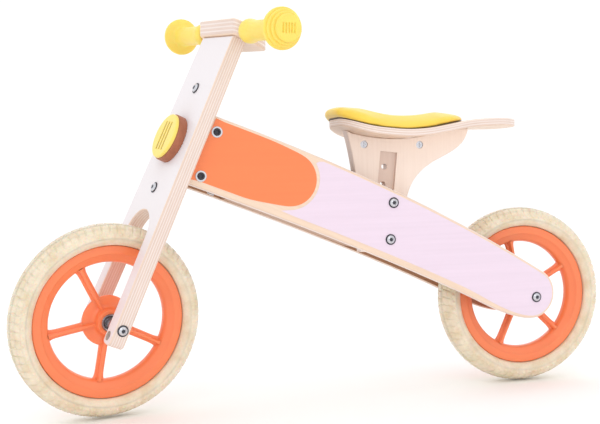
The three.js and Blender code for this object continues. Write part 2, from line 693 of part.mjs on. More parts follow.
/** Holes for the two long screws that go down through the plate and the bar into the fork. */
function plateScrewHoles() {
  return [1, -1].map((sign) => {
    const y = sign * PLATE_SCREW_SPACING / 2;
    return rodZ(2.5 + GAP, PLATE_SCREW_FOOT - 2, FORK_TOP + 40, STEERING_OFFSET, y, 10);
  });
}

/** The head plate: a thick board square across the fork, its round-cornered edge cut upright, bored for the bar. */
function headPlate() {
  const half = PLATE_HALF_LENGTH;
  const bevel = 1.5;
  const [rear, front] = [STEERING_OFFSET + PLATE_REAR, STEERING_OFFSET + PLATE_FRONT];
  const shape = new THREE.Shape();
  for (const [i, [x, y]] of [[rear, -half], [front, -half], [front, half], [rear, half]].entries()) {
    const inX = x === rear ? x + PLATE_CORNER : x - PLATE_CORNER;
    const inY = y + (y < 0 ? PLATE_CORNER : -PLATE_CORNER);
    shape.absarc(inX, inY, PLATE_CORNER, Math.PI + i * HALF_TURN, Math.PI + (i + 1) * HALF_TURN, false);
  }
  const upright = new THREE.Matrix4().makeShear(0, 0, 0, 0, Math.tan(STEERING_LEAN), 0);
  const board = new THREE.ExtrudeGeometry(shape, {
    depth: PLATE_THICKNESS - 2 * bevel, bevelThickness: bevel, bevelSize: bevel, bevelOffset: -bevel,
    bevelSegments: 1, curveSegments: 6,
  }).translate(0, 0, bevel).applyMatrix4(upright).translate(0, 0, PLATE_LOW);
  const top = PLATE_LOW + PLATE_THICKNESS;
  const barHole = rodY(BAR_RADIUS + GAP, -100, 100, STEERING_OFFSET, BAR_HEIGHT, 20);
  const sinks = [1, -1].map((sign) => rodZ(5.2, top - 1.9, top + 1, STEERING_OFFSET, sign * PLATE_SCREW_SPACING / 2));
  const body = cut(solid(board), barHole, ...plateScrewHoles(), ...sinks);
  return named('head_plate', body, materials.birch);
}

/** The steel bar through the plate, its grips, and the screws that lock it. */
function handlebar() {
  const tube = cut(
    rodY(BAR_RADIUS, -BAR_HALF_LENGTH, BAR_HALF_LENGTH, STEERING_OFFSET, BAR_HEIGHT, 20),
    rodY(BAR_RADIUS - 1.5, -200, 200, STEERING_OFFSET, BAR_HEIGHT, 20),
    ...plateScrewHoles(),
  );
  const top = PLATE_LOW + PLATE_THICKNESS;
  const pieces = [named('handlebar_tube', tube, materials.brightSteel)];
  for (const [place, sign] of [['left', 1], ['right', -1]]) {
    const y = sign * PLATE_SCREW_SPACING / 2;
    const screw = join(
      rodZ(2.5, PLATE_SCREW_FOOT, top - 1, STEERING_OFFSET, y, 10),
      rodZ(4.8, top - 1.6, top - 0.3, STEERING_OFFSET, y),
    );
    const grip = named(`grip_${place}`, gripBody(), materials.gripRubber);
    grip.position.set(STEERING_OFFSET, 0, BAR_HEIGHT);
    grip.rotation.z = sign > 0 ? 0 : Math.PI;
    pieces.push(named(`plate_screw_${place}`, screw, materials.brightSteel), grip);
  }
  return pieces;
}

/** A rubber grip: bulbous collar by the plate, plain neck, wide safety flange, and a stepped round end. */
function gripBody() {
  const start = PLATE_HALF_LENGTH + 1.5;
  const [neck, flange] = [GRIP_NECK_RADIUS, GRIP_FLANGE_RADIUS];
  const outside = turned([
    [0, start], [neck, start], [neck + 2.8, start + 6], [neck + 2.8, start + 11], [neck, start + 23],
    [neck, GRIP_END - 40], [neck + 4, GRIP_END - 26], [flange, GRIP_END - 20], [flange, GRIP_END - 15],
    [flange - 3.2, GRIP_END - 13], [flange - 6.4, GRIP_END - 8], [flange - 9.4, GRIP_END - 4], [12, GRIP_END],
    [0, GRIP_END],
  ], 24);
  return outside.subtract(rodY(BAR_RADIUS + GAP, start - 1, BAR_HALF_LENGTH + 1, 0, 0, 20));
}

// ---------------------------------------------------------------- assembly

const bike = new THREE.Group();

const rearWheel = wheel('rear', SPOKE_TURN_REAR);
const rearAxle = axle('rear', FRAME_HALF_WIDTH, INNER_HALF_GAP);
rearWheel.position.z = TYRE_RADIUS;
rearAxle.position.z = TYRE_RADIUS;

const head = axisGroup(0);
head.add(...headBlocks(), ...steeringPin());

const steering = axisGroup(STEERING_REST);
const frontWheel = wheel('front', SPOKE_TURN_FRONT);
const frontAxle = axle('front', FORK_AXLE_HALF_WIDTH + 0.2, FORK_AXLE_HALF_WIDTH - FORK_LEG_WIDTH);
frontWheel.position.x = STEERING_OFFSET;
frontAxle.position.x = STEERING_OFFSET;
steering.add(
  forkPanel(), ...legScrews(), hingeBracket(), ...steeringBushes(), ...forkBolts(), badge(),
  headPlate(), ...handlebar(), frontWheel, frontAxle,
);

bike.add(
  ...sidePanels(), head, underSpacer(),
  ...frameBolt('head_bolt_upper', 'head_nut_upper', fromAxis(...HEAD_BOLTS.upper), materials.darkSteel),
  ...frameBolt('head_bolt_lower', 'head_nut_lower', fromAxis(...HEAD_BOLTS.lower), materials.darkSteel),
  seatPost(), ...seatClamps(),
  ...frameBolt('seat_bolt_upper', 'seat_nut_upper', SEAT_BOLTS.upper, materials.brightSteel),
  ...frameBolt('seat_bolt_lower', 'seat_nut_lower', SEAT_BOLTS.lower, materials.brightSteel),
  ...saddle(), ...seatScrews(), rearWheel, rearAxle, steering,
);

bike.updateMatrixWorld(true);
const bounds = new THREE.Box3().setFromObject(bike, true);
const middle = bounds.getCenter(new THREE.Vector3());
bike.position.set(-middle.x, -middle.y, -bounds.min.z);
bike.updateMatrixWorld(true);

export default bike;
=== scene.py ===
"""A wooden balance bike for a small child, finished round its fixed frame.

The frame gives every place and size; this file adds the surfaces that show: smooth tyres, rims, grips,
saddle and bolt heads, the paint on the boards, and a material for every piece.
"""

import json
import math

import bmesh
import bpy
import numpy as np
from mathutils import Matrix, Vector

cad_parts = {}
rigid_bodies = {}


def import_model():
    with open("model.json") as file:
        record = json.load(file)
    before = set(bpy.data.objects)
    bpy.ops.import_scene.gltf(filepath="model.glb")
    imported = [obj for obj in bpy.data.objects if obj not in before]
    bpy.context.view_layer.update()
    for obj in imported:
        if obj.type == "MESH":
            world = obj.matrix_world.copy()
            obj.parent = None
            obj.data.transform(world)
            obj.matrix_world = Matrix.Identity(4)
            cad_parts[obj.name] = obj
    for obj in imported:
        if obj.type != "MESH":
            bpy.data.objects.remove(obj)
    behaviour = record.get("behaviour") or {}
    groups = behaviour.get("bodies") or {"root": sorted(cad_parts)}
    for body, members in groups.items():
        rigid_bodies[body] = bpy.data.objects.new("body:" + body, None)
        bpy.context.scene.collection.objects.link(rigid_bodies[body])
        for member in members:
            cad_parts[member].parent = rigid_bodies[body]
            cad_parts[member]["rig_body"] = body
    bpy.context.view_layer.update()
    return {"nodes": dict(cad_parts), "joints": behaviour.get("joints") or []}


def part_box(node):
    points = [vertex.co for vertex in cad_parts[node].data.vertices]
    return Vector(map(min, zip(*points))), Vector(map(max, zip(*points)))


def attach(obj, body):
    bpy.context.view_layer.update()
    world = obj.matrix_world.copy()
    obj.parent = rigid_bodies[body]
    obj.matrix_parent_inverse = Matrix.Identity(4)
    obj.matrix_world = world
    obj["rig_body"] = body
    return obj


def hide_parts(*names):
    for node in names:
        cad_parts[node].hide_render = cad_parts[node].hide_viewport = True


bl_info = {
    "name": "Balance Bike",
    "version": (1, 0, 0),
    "blender": (4, 5, 0),
    "location": "View3D > Sidebar > Balance Bike",
    "description": "Finishes a wooden balance bike piece by piece round its fixed frame",
    "category": "Object",
}

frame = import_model()
JOINTS = {joint["name"]: joint for joint in frame["joints"]}
MM = 0.001


# ---------------------------------------------------------------- places, from the frame

def middle(node_name):
    """The middle of a node's box, in metres."""
    low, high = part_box(node_name)
    return np.array((low + high) / 2)


REAR_AXLE = np.array(JOINTS["rear_wheel_spin"]["pos_m"])
FRONT_AXLE = np.array(JOINTS["front_wheel_spin"]["pos_m"])
ACROSS = np.array(JOINTS["front_wheel_spin"]["axis"])
UP_THE_FORK = np.array(JOINTS["steering_turn"]["axis"])
AHEAD = np.cross(ACROSS, UP_THE_FORK)

# Each frame is an origin in metres and three rows: local X, Y and Z. A wheel's axle is its local Y.
LENGTHWISE, SIDEWAYS, UPWARDS = SQUARE = np.eye(3)
BIKE_AXES = (np.array([REAR_AXLE[0], REAR_AXLE[1], 0.0]), SQUARE)
REAR_AXES = (REAR_AXLE, SQUARE)
FORK_AXES = (FRONT_AXLE, np.array([AHEAD, ACROSS, UP_THE_FORK]))

PANEL_FACE, PANEL_THICKNESS = 52.0, 12.0
PANEL_RUN = np.array([0.905, 0.0, 0.425])
FORK_HALF_THICKNESS = 9.7
FORK_BOLT_HEIGHTS = {"upper": 318.0, "lower": 179.0}
FORK_BOLT_LENGTH = 27.0
AXLE_HEAD_FOOT, AXLE_LENGTH = 62.3, 44.0
POST_THICKNESS = 18.0
BOARD_THICKNESS = 10.0
PLATE_LOW, PLATE_THICKNESS = 392.0, 18.0
BAR_HEIGHT = PLATE_LOW + PLATE_THICKNESS / 2
GRIP_START, GRIP_END = 61.5, 172.0
BADGE_HEIGHT = 245.0
SPOKE_TURNS = {"rear": 7.4, "front": 39.0}
WHEELS = (("rear", REAR_AXES, "rear_wheel"), ("front", FORK_AXES, "front_wheel"))
SIDES = (("left", 1), ("right", -1))

# The camera stands to the front left, in metres from the ground under the rear hub, and is turned in degrees.
CAMERA_PLACE = np.array([0.70305, 1.30147, 0.30089])
CAMERA_YAW, CAMERA_PITCH, CAMERA_ROLL = 16.16, 2.0, -1.43
SENSOR_WIDTH, LENS = 36.0, 60.1
FLOOR_RADIUS = 14.0


def placed(points, axes):
    """Points in millimetres of a local frame, as metres of the bike's frame: origin plus points times the axes."""
    origin, rows = axes
    return origin + np.asarray(points, float).reshape(-1, 3) @ rows * MM


# ---------------------------------------------------------------- surfaces

def grid_faces(rows, columns, ring_rows=False, ring_columns=True):
    """The quads of a grid of points: each joins a point, the next in its row, and the two in the next row."""
    i = np.arange(rows if ring_rows else rows - 1)[:, None]
    j = np.arange(columns if ring_columns else columns - 1)[None, :]
    i, j = np.broadcast_arrays(i, j)
    below, right = (i + 1) % rows, (j + 1) % columns
    return np.stack([i * columns + j, below * columns + j, below * columns + right, i * columns + right],
                    -1).reshape(-1, 4)


def rounded(corners, steps=5):
    """An outline through corners (x, y, reach): a quadratic curve goes from reach before each to reach after it."""
    corners = np.array(corners, float)
    point = corners[:, :2]
    sides = [np.roll(point, shift, axis=0) - point for shift in (1, -1)]
    start, end = [point + corners[:, 2:] * side / np.maximum(np.linalg.norm(side, axis=1, keepdims=True), 1e-9)
                  for side in sides]
    t = np.linspace(0, 1, steps)[None, :, None]
    curve = (1 - t) ** 2 * start[:, None] + 2 * t * (1 - t) * point[:, None] + t ** 2 * end[:, None]
    return curve.reshape(-1, 2)


def through(knots, x):
    """A smooth height at each x: cubic pieces between the knots, each with the slope of its neighbours' chord."""
    kx, kz = np.array(knots, float).T
    slope = np.gradient(kz, kx)
    i = np.clip(np.searchsorted(kx, x) - 1, 0, len(kx) - 2)
    step = kx[i + 1] - kx[i]
    t = np.clip((x - kx[i]) / step, 0, 1)
    return ((2 * t ** 3 - 3 * t ** 2 + 1) * kz[i] + (t ** 3 - 2 * t ** 2 + t) * step * slope[i]
            + (3 * t ** 2 - 2 * t ** 3) * kz[i + 1] + (t ** 3 - t ** 2) * step * slope[i + 1])


def mirrored(half, steps):
    """A closed section from the half of it at heights from zero up: its corners below, then above in reverse."""
    above = [corner for corner in reversed(half) if corner[1] > 0]
    return rounded([(radius, -height, reach) for radius, height, reach in half] + above, steps)


def lathe(profile, sides=96, closed=False):
    """A profile of (radius, height) turned round local Y: x = r cos a, y = height, z = r sin a."""
    profile = np.asarray(profile, float)
    angle = np.arange(sides) * 2 * np.pi / sides
    radius, height = profile[:, :1], profile[:, 1:2]
    points = np.stack(np.broadcast_arrays(radius * np.cos(angle), height, radius * np.sin(angle)), -1)
    return points, grid_faces(len(profile), sides, ring_rows=closed)


def spread(outline, length):
    """The same line with points added, evenly on each side, so that no two are further apart than length."""
    outline = np.asarray(outline, float)
    gaps = np.linalg.norm(np.diff(outline, axis=0), axis=1)
    counts = np.maximum(1, np.ceil(gaps / length).astype(int))
    along = np.concatenate([[0], np.cumsum(gaps)])
    kept = np.repeat(along[:-1], counts)
    part = np.arange(counts.sum()) - np.repeat(np.cumsum(counts) - counts, counts)
    at = np.append(kept + part * np.repeat(gaps / counts, counts), along[-1])
    return np.stack([np.interp(at, along, outline[:, k]) for k in (0, 1)], -1)


def joined(*parts):
    """Several (points, faces) as one, each one's faces counted on from the points before it."""
    points = [np.asarray(p, float).reshape(-1, 3) for p, _ in parts]
    starts = np.cumsum([0] + [len(p) for p in points[:-1]])
    return np.concatenate(points), np.concatenate([f + s for (_, f), s in zip(parts, starts)])


def prism(outline, low, high):
    """A flat outline (x, z) given a thickness along Y: two faces and a band of quads between them."""
    count = len(outline)
    layers = [np.insert(np.asarray(outline, float), 1, y, axis=1) for y in (low, high)]
    ring = grid_faces(2, count).tolist()
    caps = [list(range(count)), list(range(2 * count - 1, count - 1, -1))]
    return np.concatenate(layers), ring + caps


def sheet(points):
    """A grid of points, closed along its rows, with its quads."""
    return points, grid_faces(*points.shape[:2])


def add_piece(name, surface, axes, material, body, replaces=(), smooth=35, extra=None):
    """A finished piece from a surface of points and faces, placed on its axes.

    Its doubles are merged and its faces turned outwards, and it is smooth but for edges sharper than smooth.
    """
    points, faces = surface
    mesh = bpy.data.meshes.new(name)
    mesh.from_pydata(placed(points, axes).tolist(), [], [list(f) for f in faces])
    if extra:
        for key, values in extra.items():
            mesh.attributes.new(key, "FLOAT", "POINT").data.foreach_set("value", np.ravel(values).astype(np.float32))
    shape = bmesh.new()
    shape.from_mesh(mesh)
    bmesh.ops.remove_doubles(shape, verts=shape.verts, dist=2e-6)
    bmesh.ops.dissolve_degenerate(shape, edges=shape.edges, dist=1e-6)
    bmesh.ops.recalc_face_normals(shape, faces=shape.faces)
    shape.to_mesh(mesh)
    shape.free()
    mesh.polygons.foreach_set("use_smooth", np.ones(len(mesh.polygons), bool))
    mesh.set_sharp_from_angle(angle=math.radians(smooth))
    mesh.materials.append(material)
    piece = bpy.data.objects.new(name, mesh)
    bpy.context.scene.collection.objects.link(piece)
    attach(piece, body)
    if replaces:
        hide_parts(*replaces)
    return piece


def dress(node_name, material, angle=30):
    """Gives a frame node its material, and shades it smooth across edges flatter than angle."""
    piece = frame["nodes"][node_name]
    piece.data.materials.clear()
    piece.data.materials.append(material)
    piece.data.polygons.foreach_set("use_smooth", np.ones(len(piece.data.polygons), bool))
    weld = piece.modifiers.new("Weld", "WELD")
    weld.merge_threshold = 1e-5
    split = piece.modifiers.new("Edges", "EDGE_SPLIT")
    split.split_angle = math.radians(angle)
    return piece


# ---------------------------------------------------------------- materials

def linear(colour):
    """sRGB hex as linear RGBA: c / 12.92 up to 0.04045, and ((c + 0.055) / 1.055) to the power 2.4 above."""
    c = np.array([int(colour[i:i + 2], 16) / 255 for i in (1, 3, 5)])
    return (*np.where(c <= 0.04045, c / 12.92, ((c + 0.055) / 1.055) ** 2.4).tolist(), 1.0)


def add_node(tree, kind, inputs=None, **settings):
    """Adds one node to a material, with its settings and with each input filled or linked."""
    made = tree.nodes.new(kind)
    for key, value in settings.items():
        setattr(made, key, value)
    for key, value in (inputs or {}).items():
        if isinstance(value, bpy.types.NodeSocket):
            tree.links.new(value, made.inputs[key])
        else:
            made.inputs[key].default_value = value
    return made


def start_material(name, colour, roughness, **sockets):
    """A material with one Principled shader, and its tree, shader and Object coordinates to build on."""
    material = bpy.data.materials.new(name)
    material.use_nodes = True
    tree = material.node_tree
    shader = tree.nodes["Principled BSDF"]
    shader.inputs["Base Color"].default_value = tuple(colour)
    shader.inputs["Roughness"].default_value = roughness
    for key, value in sockets.items():
        shader.inputs[key.replace("_", " ")].default_value = value
    place = tree.nodes.new("ShaderNodeTexCoord").outputs["Object"]
    return material, tree, shader, place


def mottle(tree, place, size, detail=3.0, stretch=None):
    """Noise whose lumps are size metres across, drawn out by stretch along X, Y and Z where given."""
    if stretch:
        place = add_node(tree, "ShaderNodeVectorMath", {0: place, 1: stretch}, operation="MULTIPLY").outputs[0]
    return add_node(tree, "ShaderNodeTexNoise", {"Vector": place, "Scale": 1 / size, "Detail": detail}).outputs["Fac"]


def ramp(tree, factor, stops):
    """A colour ramp over the factor, from (position, linear colour) stops."""
    made = add_node(tree, "ShaderNodeValToRGB", {"Fac": factor})
    elements = made.color_ramp.elements
    while len(elements) < len(stops):
        elements.new(0.5)
    for element, (position, colour) in zip(elements, stops):
        element.position = position
        element.color = colour
    return made.outputs["Color"]


def math_node(tree, operation, a, b=0.0):
    """One arithmetic step on two inputs."""
    return add_node(tree, "ShaderNodeMath", {0: a, 1: b}, operation=operation).outputs[0]


def set_bump(tree, shader, height, strength, distance):
    """Lets a height tilt the shader's normal; distance is the relief in metres."""
    bump = add_node(tree, "ShaderNodeBump", {"Height": height, "Strength": strength, "Distance": distance})
    tree.links.new(bump.outputs["Normal"], shader.inputs["Normal"])


def shade(colour, factor):
    """A linear colour made lighter or darker by a factor."""
    return (*[min(1.0, c * factor) for c in colour[:3]], 1.0)


def birch_ply(name, normal, centre, thickness, ply, grain, face="birch", paint=None, attribute=None, inner=None,
              figure=0.32):
    """Birch plywood: rotary-cut veneers glued crosswise, sanded and clear varnished.

    The eye sees a pale satin face with faint long grain, and on the edges stripes of light long grain and
    darker end grain, one veneer wide each, with a fine glue line between them. With a paint, the two broad
    faces are sprayed, and the paint ends at the eased edge. inner is the side, 1 or -1 along the normal, and
    a darker colour laid on that face as painted shade, standing in for the shade between the panels. figure is
    the strength of the grain. The depth in the board is thickness through it from its middle, in millimetres:
    the place times the normal less the centre, or an attribute of the mesh.
    """
    colours, _ = settings()
    face, edge_light, edge_dark = getattr(colours, face), colours.edge_light, colours.edge_dark
    material, tree, shader, place = start_material(name, face, 0.42, Coat_Weight=0.12, Coat_Roughness=0.3)
    if attribute:
        depth = add_node(tree, "ShaderNodeAttribute", attribute_name=attribute).outputs["Fac"]
    else:
        dot = add_node(tree, "ShaderNodeVectorMath", {0: place, 1: tuple(normal)}, operation="DOT_PRODUCT")
        depth = math_node(tree, "MULTIPLY", math_node(tree, "SUBTRACT", dot.outputs["Value"], centre), 1000.0)
    layer = math_node(tree, "DIVIDE", math_node(tree, "ADD", depth, thickness / 2), ply)
    wave = math_node(tree, "PINGPONG", layer, 1.0)
    side = tuple(np.cross(normal, grain))
    length = add_node(tree, "ShaderNodeVectorMath", {0: place, 1: tuple(grain)}, operation="DOT_PRODUCT")
    across = add_node(tree, "ShaderNodeVectorMath", {0: place, 1: side}, operation="DOT_PRODUCT")
    laid = add_node(tree, "ShaderNodeCombineXYZ", {
        "X": math_node(tree, "MULTIPLY", length.outputs["Value"], 12.0),
        "Y": math_node(tree, "MULTIPLY", across.outputs["Value"], 260.0),
        "Z": math_node(tree, "MULTIPLY", layer, 0.45)}).outputs[0]
    fibre = add_node(tree, "ShaderNodeTexNoise", {"Vector": laid, "Scale": 1.0, "Detail": 4.0,
                                                 "Roughness": 0.62}).outputs["Fac"]
    stripes = ramp(tree, wave, [(0.0, edge_light), (0.40, edge_light), (0.50, shade(edge_dark, 0.80)),
                                (0.58, edge_dark), (1.0, edge_dark)])
    inside = math_node(tree, "LESS_THAN", math_node(tree, "ABSOLUTE", depth), thickness / 2 - 0.5 * ply)
    wood = add_node(tree, "ShaderNodeMix", {0: inside, 6: face, 7: stripes}, data_type="RGBA").outputs[2]
    grained = ramp(tree, fibre, [(0.30, (0.80, 0.74, 0.70, 1)), (0.62, (1, 1, 1, 1))])
    colour = add_node(tree, "ShaderNodeMix", {0: figure, 6: wood, 7: grained}, data_type="RGBA",
                      blend_type="MULTIPLY").outputs[2]
    if paint:
        skin = math_node(tree, "GREATER_THAN", math_node(tree, "ABSOLUTE", depth), thickness / 2 - 0.06)
        colour = add_node(tree, "ShaderNodeMix", {0: skin, 6: colour, 7: paint}, data_type="RGBA").outputs[2]
    # Painted shade: the inner face gets a darker brown, standing in for the shade that falls between the panels.
    if inner:
        painted_inner_shade = math_node(tree, "GREATER_THAN", math_node(tree, "MULTIPLY", depth, inner[0]), thickness / 2 - 0.3)
        colour = add_node(tree, "ShaderNodeMix", {0: painted_inner_shade, 6: colour, 7: inner[1]}, data_type="RGBA").outputs[2]
    tree.links.new(colour, shader.inputs["Base Color"])
    set_bump(tree, shader, fibre, 0.10, 0.0004)
    return material


def two_tone(tree, shader, factor, colour, dark, low=0.3, high=0.7):
    """Links the base colour: the colour times dark while the factor is under low, up to the colour over high."""
    tint = ramp(tree, factor, [(low, shade(colour, dark)), (high, tuple(colour))])
    tree.links.new(tint, shader.inputs["Base Color"])
    return tint


# Painted shade: the dark brown laid into the badge's grooves, standing in for the shade in them.
GROOVE_PAINTED_SHADE = (0.34, 0.22, 0.03, 1)


def lacquer(name, colour, grain=(6.0, 200.0, 200.0), roughness=0.36, hollow=None):
    """Water-based satin lacquer sprayed on sanded birch.

    The eye sees an even, solid colour with a soft sheen; the wood's fibres swell a little under it, which
    leaves very fine long ripples in the gloss. hollow names an attribute that is 1 in a groove; there the
    colour is darkened towards a dark brown as painted shade in the groove.
    """
    material, tree, shader, place = start_material(name, colour, roughness, Coat_Weight=0.25, Coat_Roughness=0.25)
    ripple = mottle(tree, place, 1.0, 4.0, grain)
    tint = two_tone(tree, shader, ripple, colour, 0.955)
    if hollow:
        thin = add_node(tree, "ShaderNodeAttribute", attribute_name=hollow).outputs["Fac"]
        # Painted shade: the colour in the grooves is darkened towards a dark brown, standing in for the shade there.
        groove_shaded = add_node(tree, "ShaderNodeMix", {0: thin, 6: tint, 7: GROOVE_PAINTED_SHADE}, data_type="RGBA").outputs[2]
        tree.links.new(groove_shaded, shader.inputs["Base Color"])
    set_bump(tree, shader, ripple, 0.06, 0.0003)
    return material


def moulded(name, colour, roughness, grit, depth, subsurface=0.0, variation=0.96, coat=0.0):
    """Injection-moulded plastic or rubber out of a spark-eroded mould.

    The eye sees one even body colour with a soft highlight broken by the mould's fine grit, and edges that
    glow a little where light passes through the plastic. The grit is drawn coarser than real, so that it shows.
    """
    material, tree, shader, place = start_material(name, colour, roughness, Subsurface_Weight=subsurface,
                                                   Subsurface_Scale=0.004, Coat_Weight=coat, Coat_Roughness=0.2)
    fine = mottle(tree, place, grit, 2.0)
    broad = mottle(tree, place, 0.05, 2.0)
    two_tone(tree, shader, broad, colour, variation, 0.35, 0.65)
    set_bump(tree, shader, fine, 0.25, depth)
    return material


def foam(name, colour, dark):
    """EVA foam, blown and moulded: closed cells under a thin glossy skin.

    The eye sees a mottled cream with tiny pale and amber flecks where cells lie near the skin, a waxy gloss,
    and light that sinks in. The cells are drawn at 2.5 mm, coarser than real, so that they show.
    """
    material, tree, shader, place = start_material(name, colour, 0.38, Subsurface_Weight=0.25,
                                                   Subsurface_Scale=0.006, Coat_Weight=0.2, Coat_Roughness=0.25)
    broad = mottle(tree, place, 0.016, 4.0)
    cells = add_node(tree, "ShaderNodeTexVoronoi", {"Vector": place, "Scale": 400.0}).outputs["Distance"]
    tint = ramp(tree, broad, [(0.25, dark), (0.55, tuple(colour)), (0.75, shade(colour, 1.08))])
    fleck = ramp(tree, cells, [(0.15, (1, 1, 1, 1)), (0.75, (0.95, 0.93, 0.88, 1))])
    colour = add_node(tree, "ShaderNodeMix", {0: 0.7, 6: tint, 7: fleck}, data_type="RGBA",
                      blend_type="MULTIPLY").outputs[2]
    tree.links.new(colour, shader.inputs["Base Color"])
    set_bump(tree, shader, cells, 0.25, 0.0004)
    return material


def coated_cloth(name, colour):
    """Polyurethane-coated knit, embossed with a soft leather grain and stretched over foam.

    The eye sees a smooth, slightly waxy skin with a broad soft highlight, and close up a shallow pebble grain
    about 1.6 mm across, drawn a little coarser than real.
    """
    material, tree, shader, place = start_material(name, colour, 0.46, Sheen_Weight=0.25, Sheen_Roughness=0.5,
                                                   Subsurface_Weight=0.12, Subsurface_Scale=0.004)
    pebble = add_node(tree, "ShaderNodeTexVoronoi", {"Vector": place, "Scale": 620.0, "Smoothness": 0.6},
                      feature="SMOOTH_F1").outputs["Distance"]
    two_tone(tree, shader, mottle(tree, place, 0.04, 3.0), colour, 0.95)
    set_bump(tree, shader, pebble, 0.18, 0.0003)
    return material


def steel(name, colour, roughness, metallic=1.0):
    """Cold-headed steel, zinc plated or blackened in a bath.

    The eye sees bright rounded highlights with a faint cloudiness from the bath, and fine scuffs that make
    the gloss uneven from place to place.
    """
    material, tree, shader, place = start_material(name, colour, roughness, Metallic=metallic)
    cloud = mottle(tree, place, 0.003, 4.0)
    gloss = add_node(tree, "ShaderNodeMapRange", {
        "Value": cloud, "To Min": max(0.05, roughness - 0.08), "To Max": roughness + 0.12}).outputs[0]
    tree.links.new(gloss, shader.inputs["Roughness"])
    set_bump(tree, shader, cloud, 0.05, 0.0001)
    return material


def solid_birch(name, colour, grain=(8.0, 220.0, 220.0)):
    """Solid birch or beech, planed, sanded and oiled or stained.

    The eye sees a warm even tone with long fine fibres a little under a millimetre wide, darker where the
    grain is close, and a dull sheen.
    """
    material, tree, shader, place = start_material(name, colour, 0.5)
    fibre = mottle(tree, place, 1.0, 5.0, grain)
    two_tone(tree, shader, fibre, colour, 0.80)
    set_bump(tree, shader, fibre, 0.15, 0.0004)
    return material


# ---------------------------------------------------------------- sizes and colours a user may change

def colour_property(name, description, default):
    """A colour a user may change, its default given as sRGB hex."""
    return bpy.props.FloatVectorProperty(name=name, description=description, subtype="COLOR", size=4,
                                         min=0, max=1, default=linear(default))


class BikeColours(bpy.types.PropertyGroup):
    """The colours of the bike's finishes."""
    orange: colour_property("Head paint", "Lacquer on the front of the side panels", "#F8844C")
    lilac: colour_property("Panel paint", "Lacquer on the rest of the side panels", "#EBD8E8")
    white: colour_property("Fork paint", "Lacquer on the faces of the fork", "#EAE4E7")
    birch: colour_property("Birch face", "Face veneer of the boards", "#F0D6BF")
    edge_light: colour_property("Light veneer", "Long-grain veneers on a cut edge", "#F1E2DB")
    edge_dark: colour_property("Dark veneer", "End-grain veneers on a cut edge", "#E6CFC2")
    # Painted light: the seat post's veneer is lighter than the birch faces, standing in for the light it gets under
    # the saddle.
    post: colour_property("Seat post", "Face veneer of the seat post", "#FFEEE2")
    brown: colour_property("Badge disc", "Stained wood behind the badge", "#B0694A")
    badge: colour_property("Badge face", "Lacquer on the badge", "#FCE069")
    rim: colour_property("Rims", "Moulded plastic of the wheels", "#FC8754")
    tyre: colour_property("Tyres", "Foam of the tyres", "#EBDDC6")
    tyre_dark: colour_property("Tyre shade", "Darker clouds in the foam", "#DFCBA9")
    grip: colour_property("Grips", "Soft rubber of the grips", "#FBDF66")
    cushion: colour_property("Cushion", "Coated cover of the saddle cushion", "#FDD64F")
    zinc: colour_property("Zinc", "Plated bolts, nuts and tube", "#CFD0D6")
    # black also colours painted shade: the fills in the bright bolts' sockets and the rings under their heads.
    black: colour_property("Blackened steel", "Black bolts and the hinge", "#4A4A50")


class BikeSizes(bpy.types.PropertyGroup):
    """The sizes of the bike's finer surfaces, in millimetres unless a unit is given."""
    tread_blocks: bpy.props.IntProperty(name="Tread blocks", description="Blocks round each tyre",
                                        default=72, min=24, max=96)
    tread_depth: bpy.props.FloatProperty(name="Tread depth", description="Depth of the tread's grooves, mm",
                                         default=1.5, min=0, max=4)
    ply: bpy.props.FloatProperty(name="Veneer", description="Thickness of one veneer, mm", default=1.6,
                                 min=0.8, max=3)
    cushion_rise: bpy.props.FloatProperty(name="Cushion rise", description="Most that the cushion swells, mm",
                                          default=6.0, min=0, max=12)
    paint_film: bpy.props.FloatProperty(name="Paint film", description="Thickness of the paint, mm",
                                        default=0.2, min=0.1, max=0.3)


def settings():
    """The colours and sizes set on the scene."""
    scene = bpy.context.scene
    return scene.bike_colours, scene.bike_sizes


# ---------------------------------------------------------------- pieces

class BIKE_OT_boards(bpy.types.Operator):
    """Finish the plywood and solid wood boards that the frame holds"""
    bl_idname = "bike.finish_boards"
    bl_label = "Finish boards"

    def execute(self, context):
        colours, sizes = settings()
        for side, sign in SIDES:
            node_name = f"side_panel_{side}"
            # The inner face of each panel gets a darker brown as painted shade, for the shade between the two panels.
            ply = birch_ply(f"Birch plywood, varnished, {side} panel", SIDEWAYS, middle(node_name)[1],
                            PANEL_THICKNESS, 1.7, PANEL_RUN, inner=(-sign, linear("#A97D5E")))
            dress(node_name, ply)
        # The post's face colour is painted lighter, standing in for the light that falls on it.
        post = birch_ply("Birch plywood, varnished, seat post", SIDEWAYS, middle("seat_post")[1], POST_THICKNESS,
                         sizes.ply, UPWARDS, face="post", figure=0.2)
        dress("seat_post", post)
        fork = birch_ply("Birch plywood, white lacquer on its faces", AHEAD, float(FRONT_AXLE @ AHEAD),
                         2 * FORK_HALF_THICKNESS, sizes.ply, UP_THE_FORK, paint=tuple(colours.white))
        dress("fork_panel", fork)
        plate_middle = float(placed([0, 0, BAR_HEIGHT], FORK_AXES)[0] @ UP_THE_FORK)
        plate = birch_ply("Birch plywood, varnished, head plate", UP_THE_FORK, plate_middle, PLATE_THICKNESS, 2.2,
                          ACROSS)
        dress("head_plate", plate)
        block = solid_birch("Solid birch, oiled", colours.birch)
        # Painted shade: the spacer under the frame is a darker brown, standing in for the shade between and under the
        # panels.
        painted_shade_birch = solid_birch("Solid birch, stained warm brown", linear("#B98A68"))
        for node_name in ("head_block_upper", "head_block_lower", "seat_clamp_left", "seat_clamp_right"):
            dress(node_name, block)
        dress("under_spacer", painted_shade_birch)
        return {"FINISHED"}


# The side panel's long edges, from the ground under the rear hub: each row is a quadratic curve's three points.
PANEL_TOP = [[(449.8, 381.4), (184.0, 282.0), (-11.9, 160.0)]]
PANEL_FOOT = [[(7.7, 95.7), (34.0, 95.5), (84.0, 122.5)], [(84.0, 122.5), (228.0, 195.5), (488.6, 295.8)]]


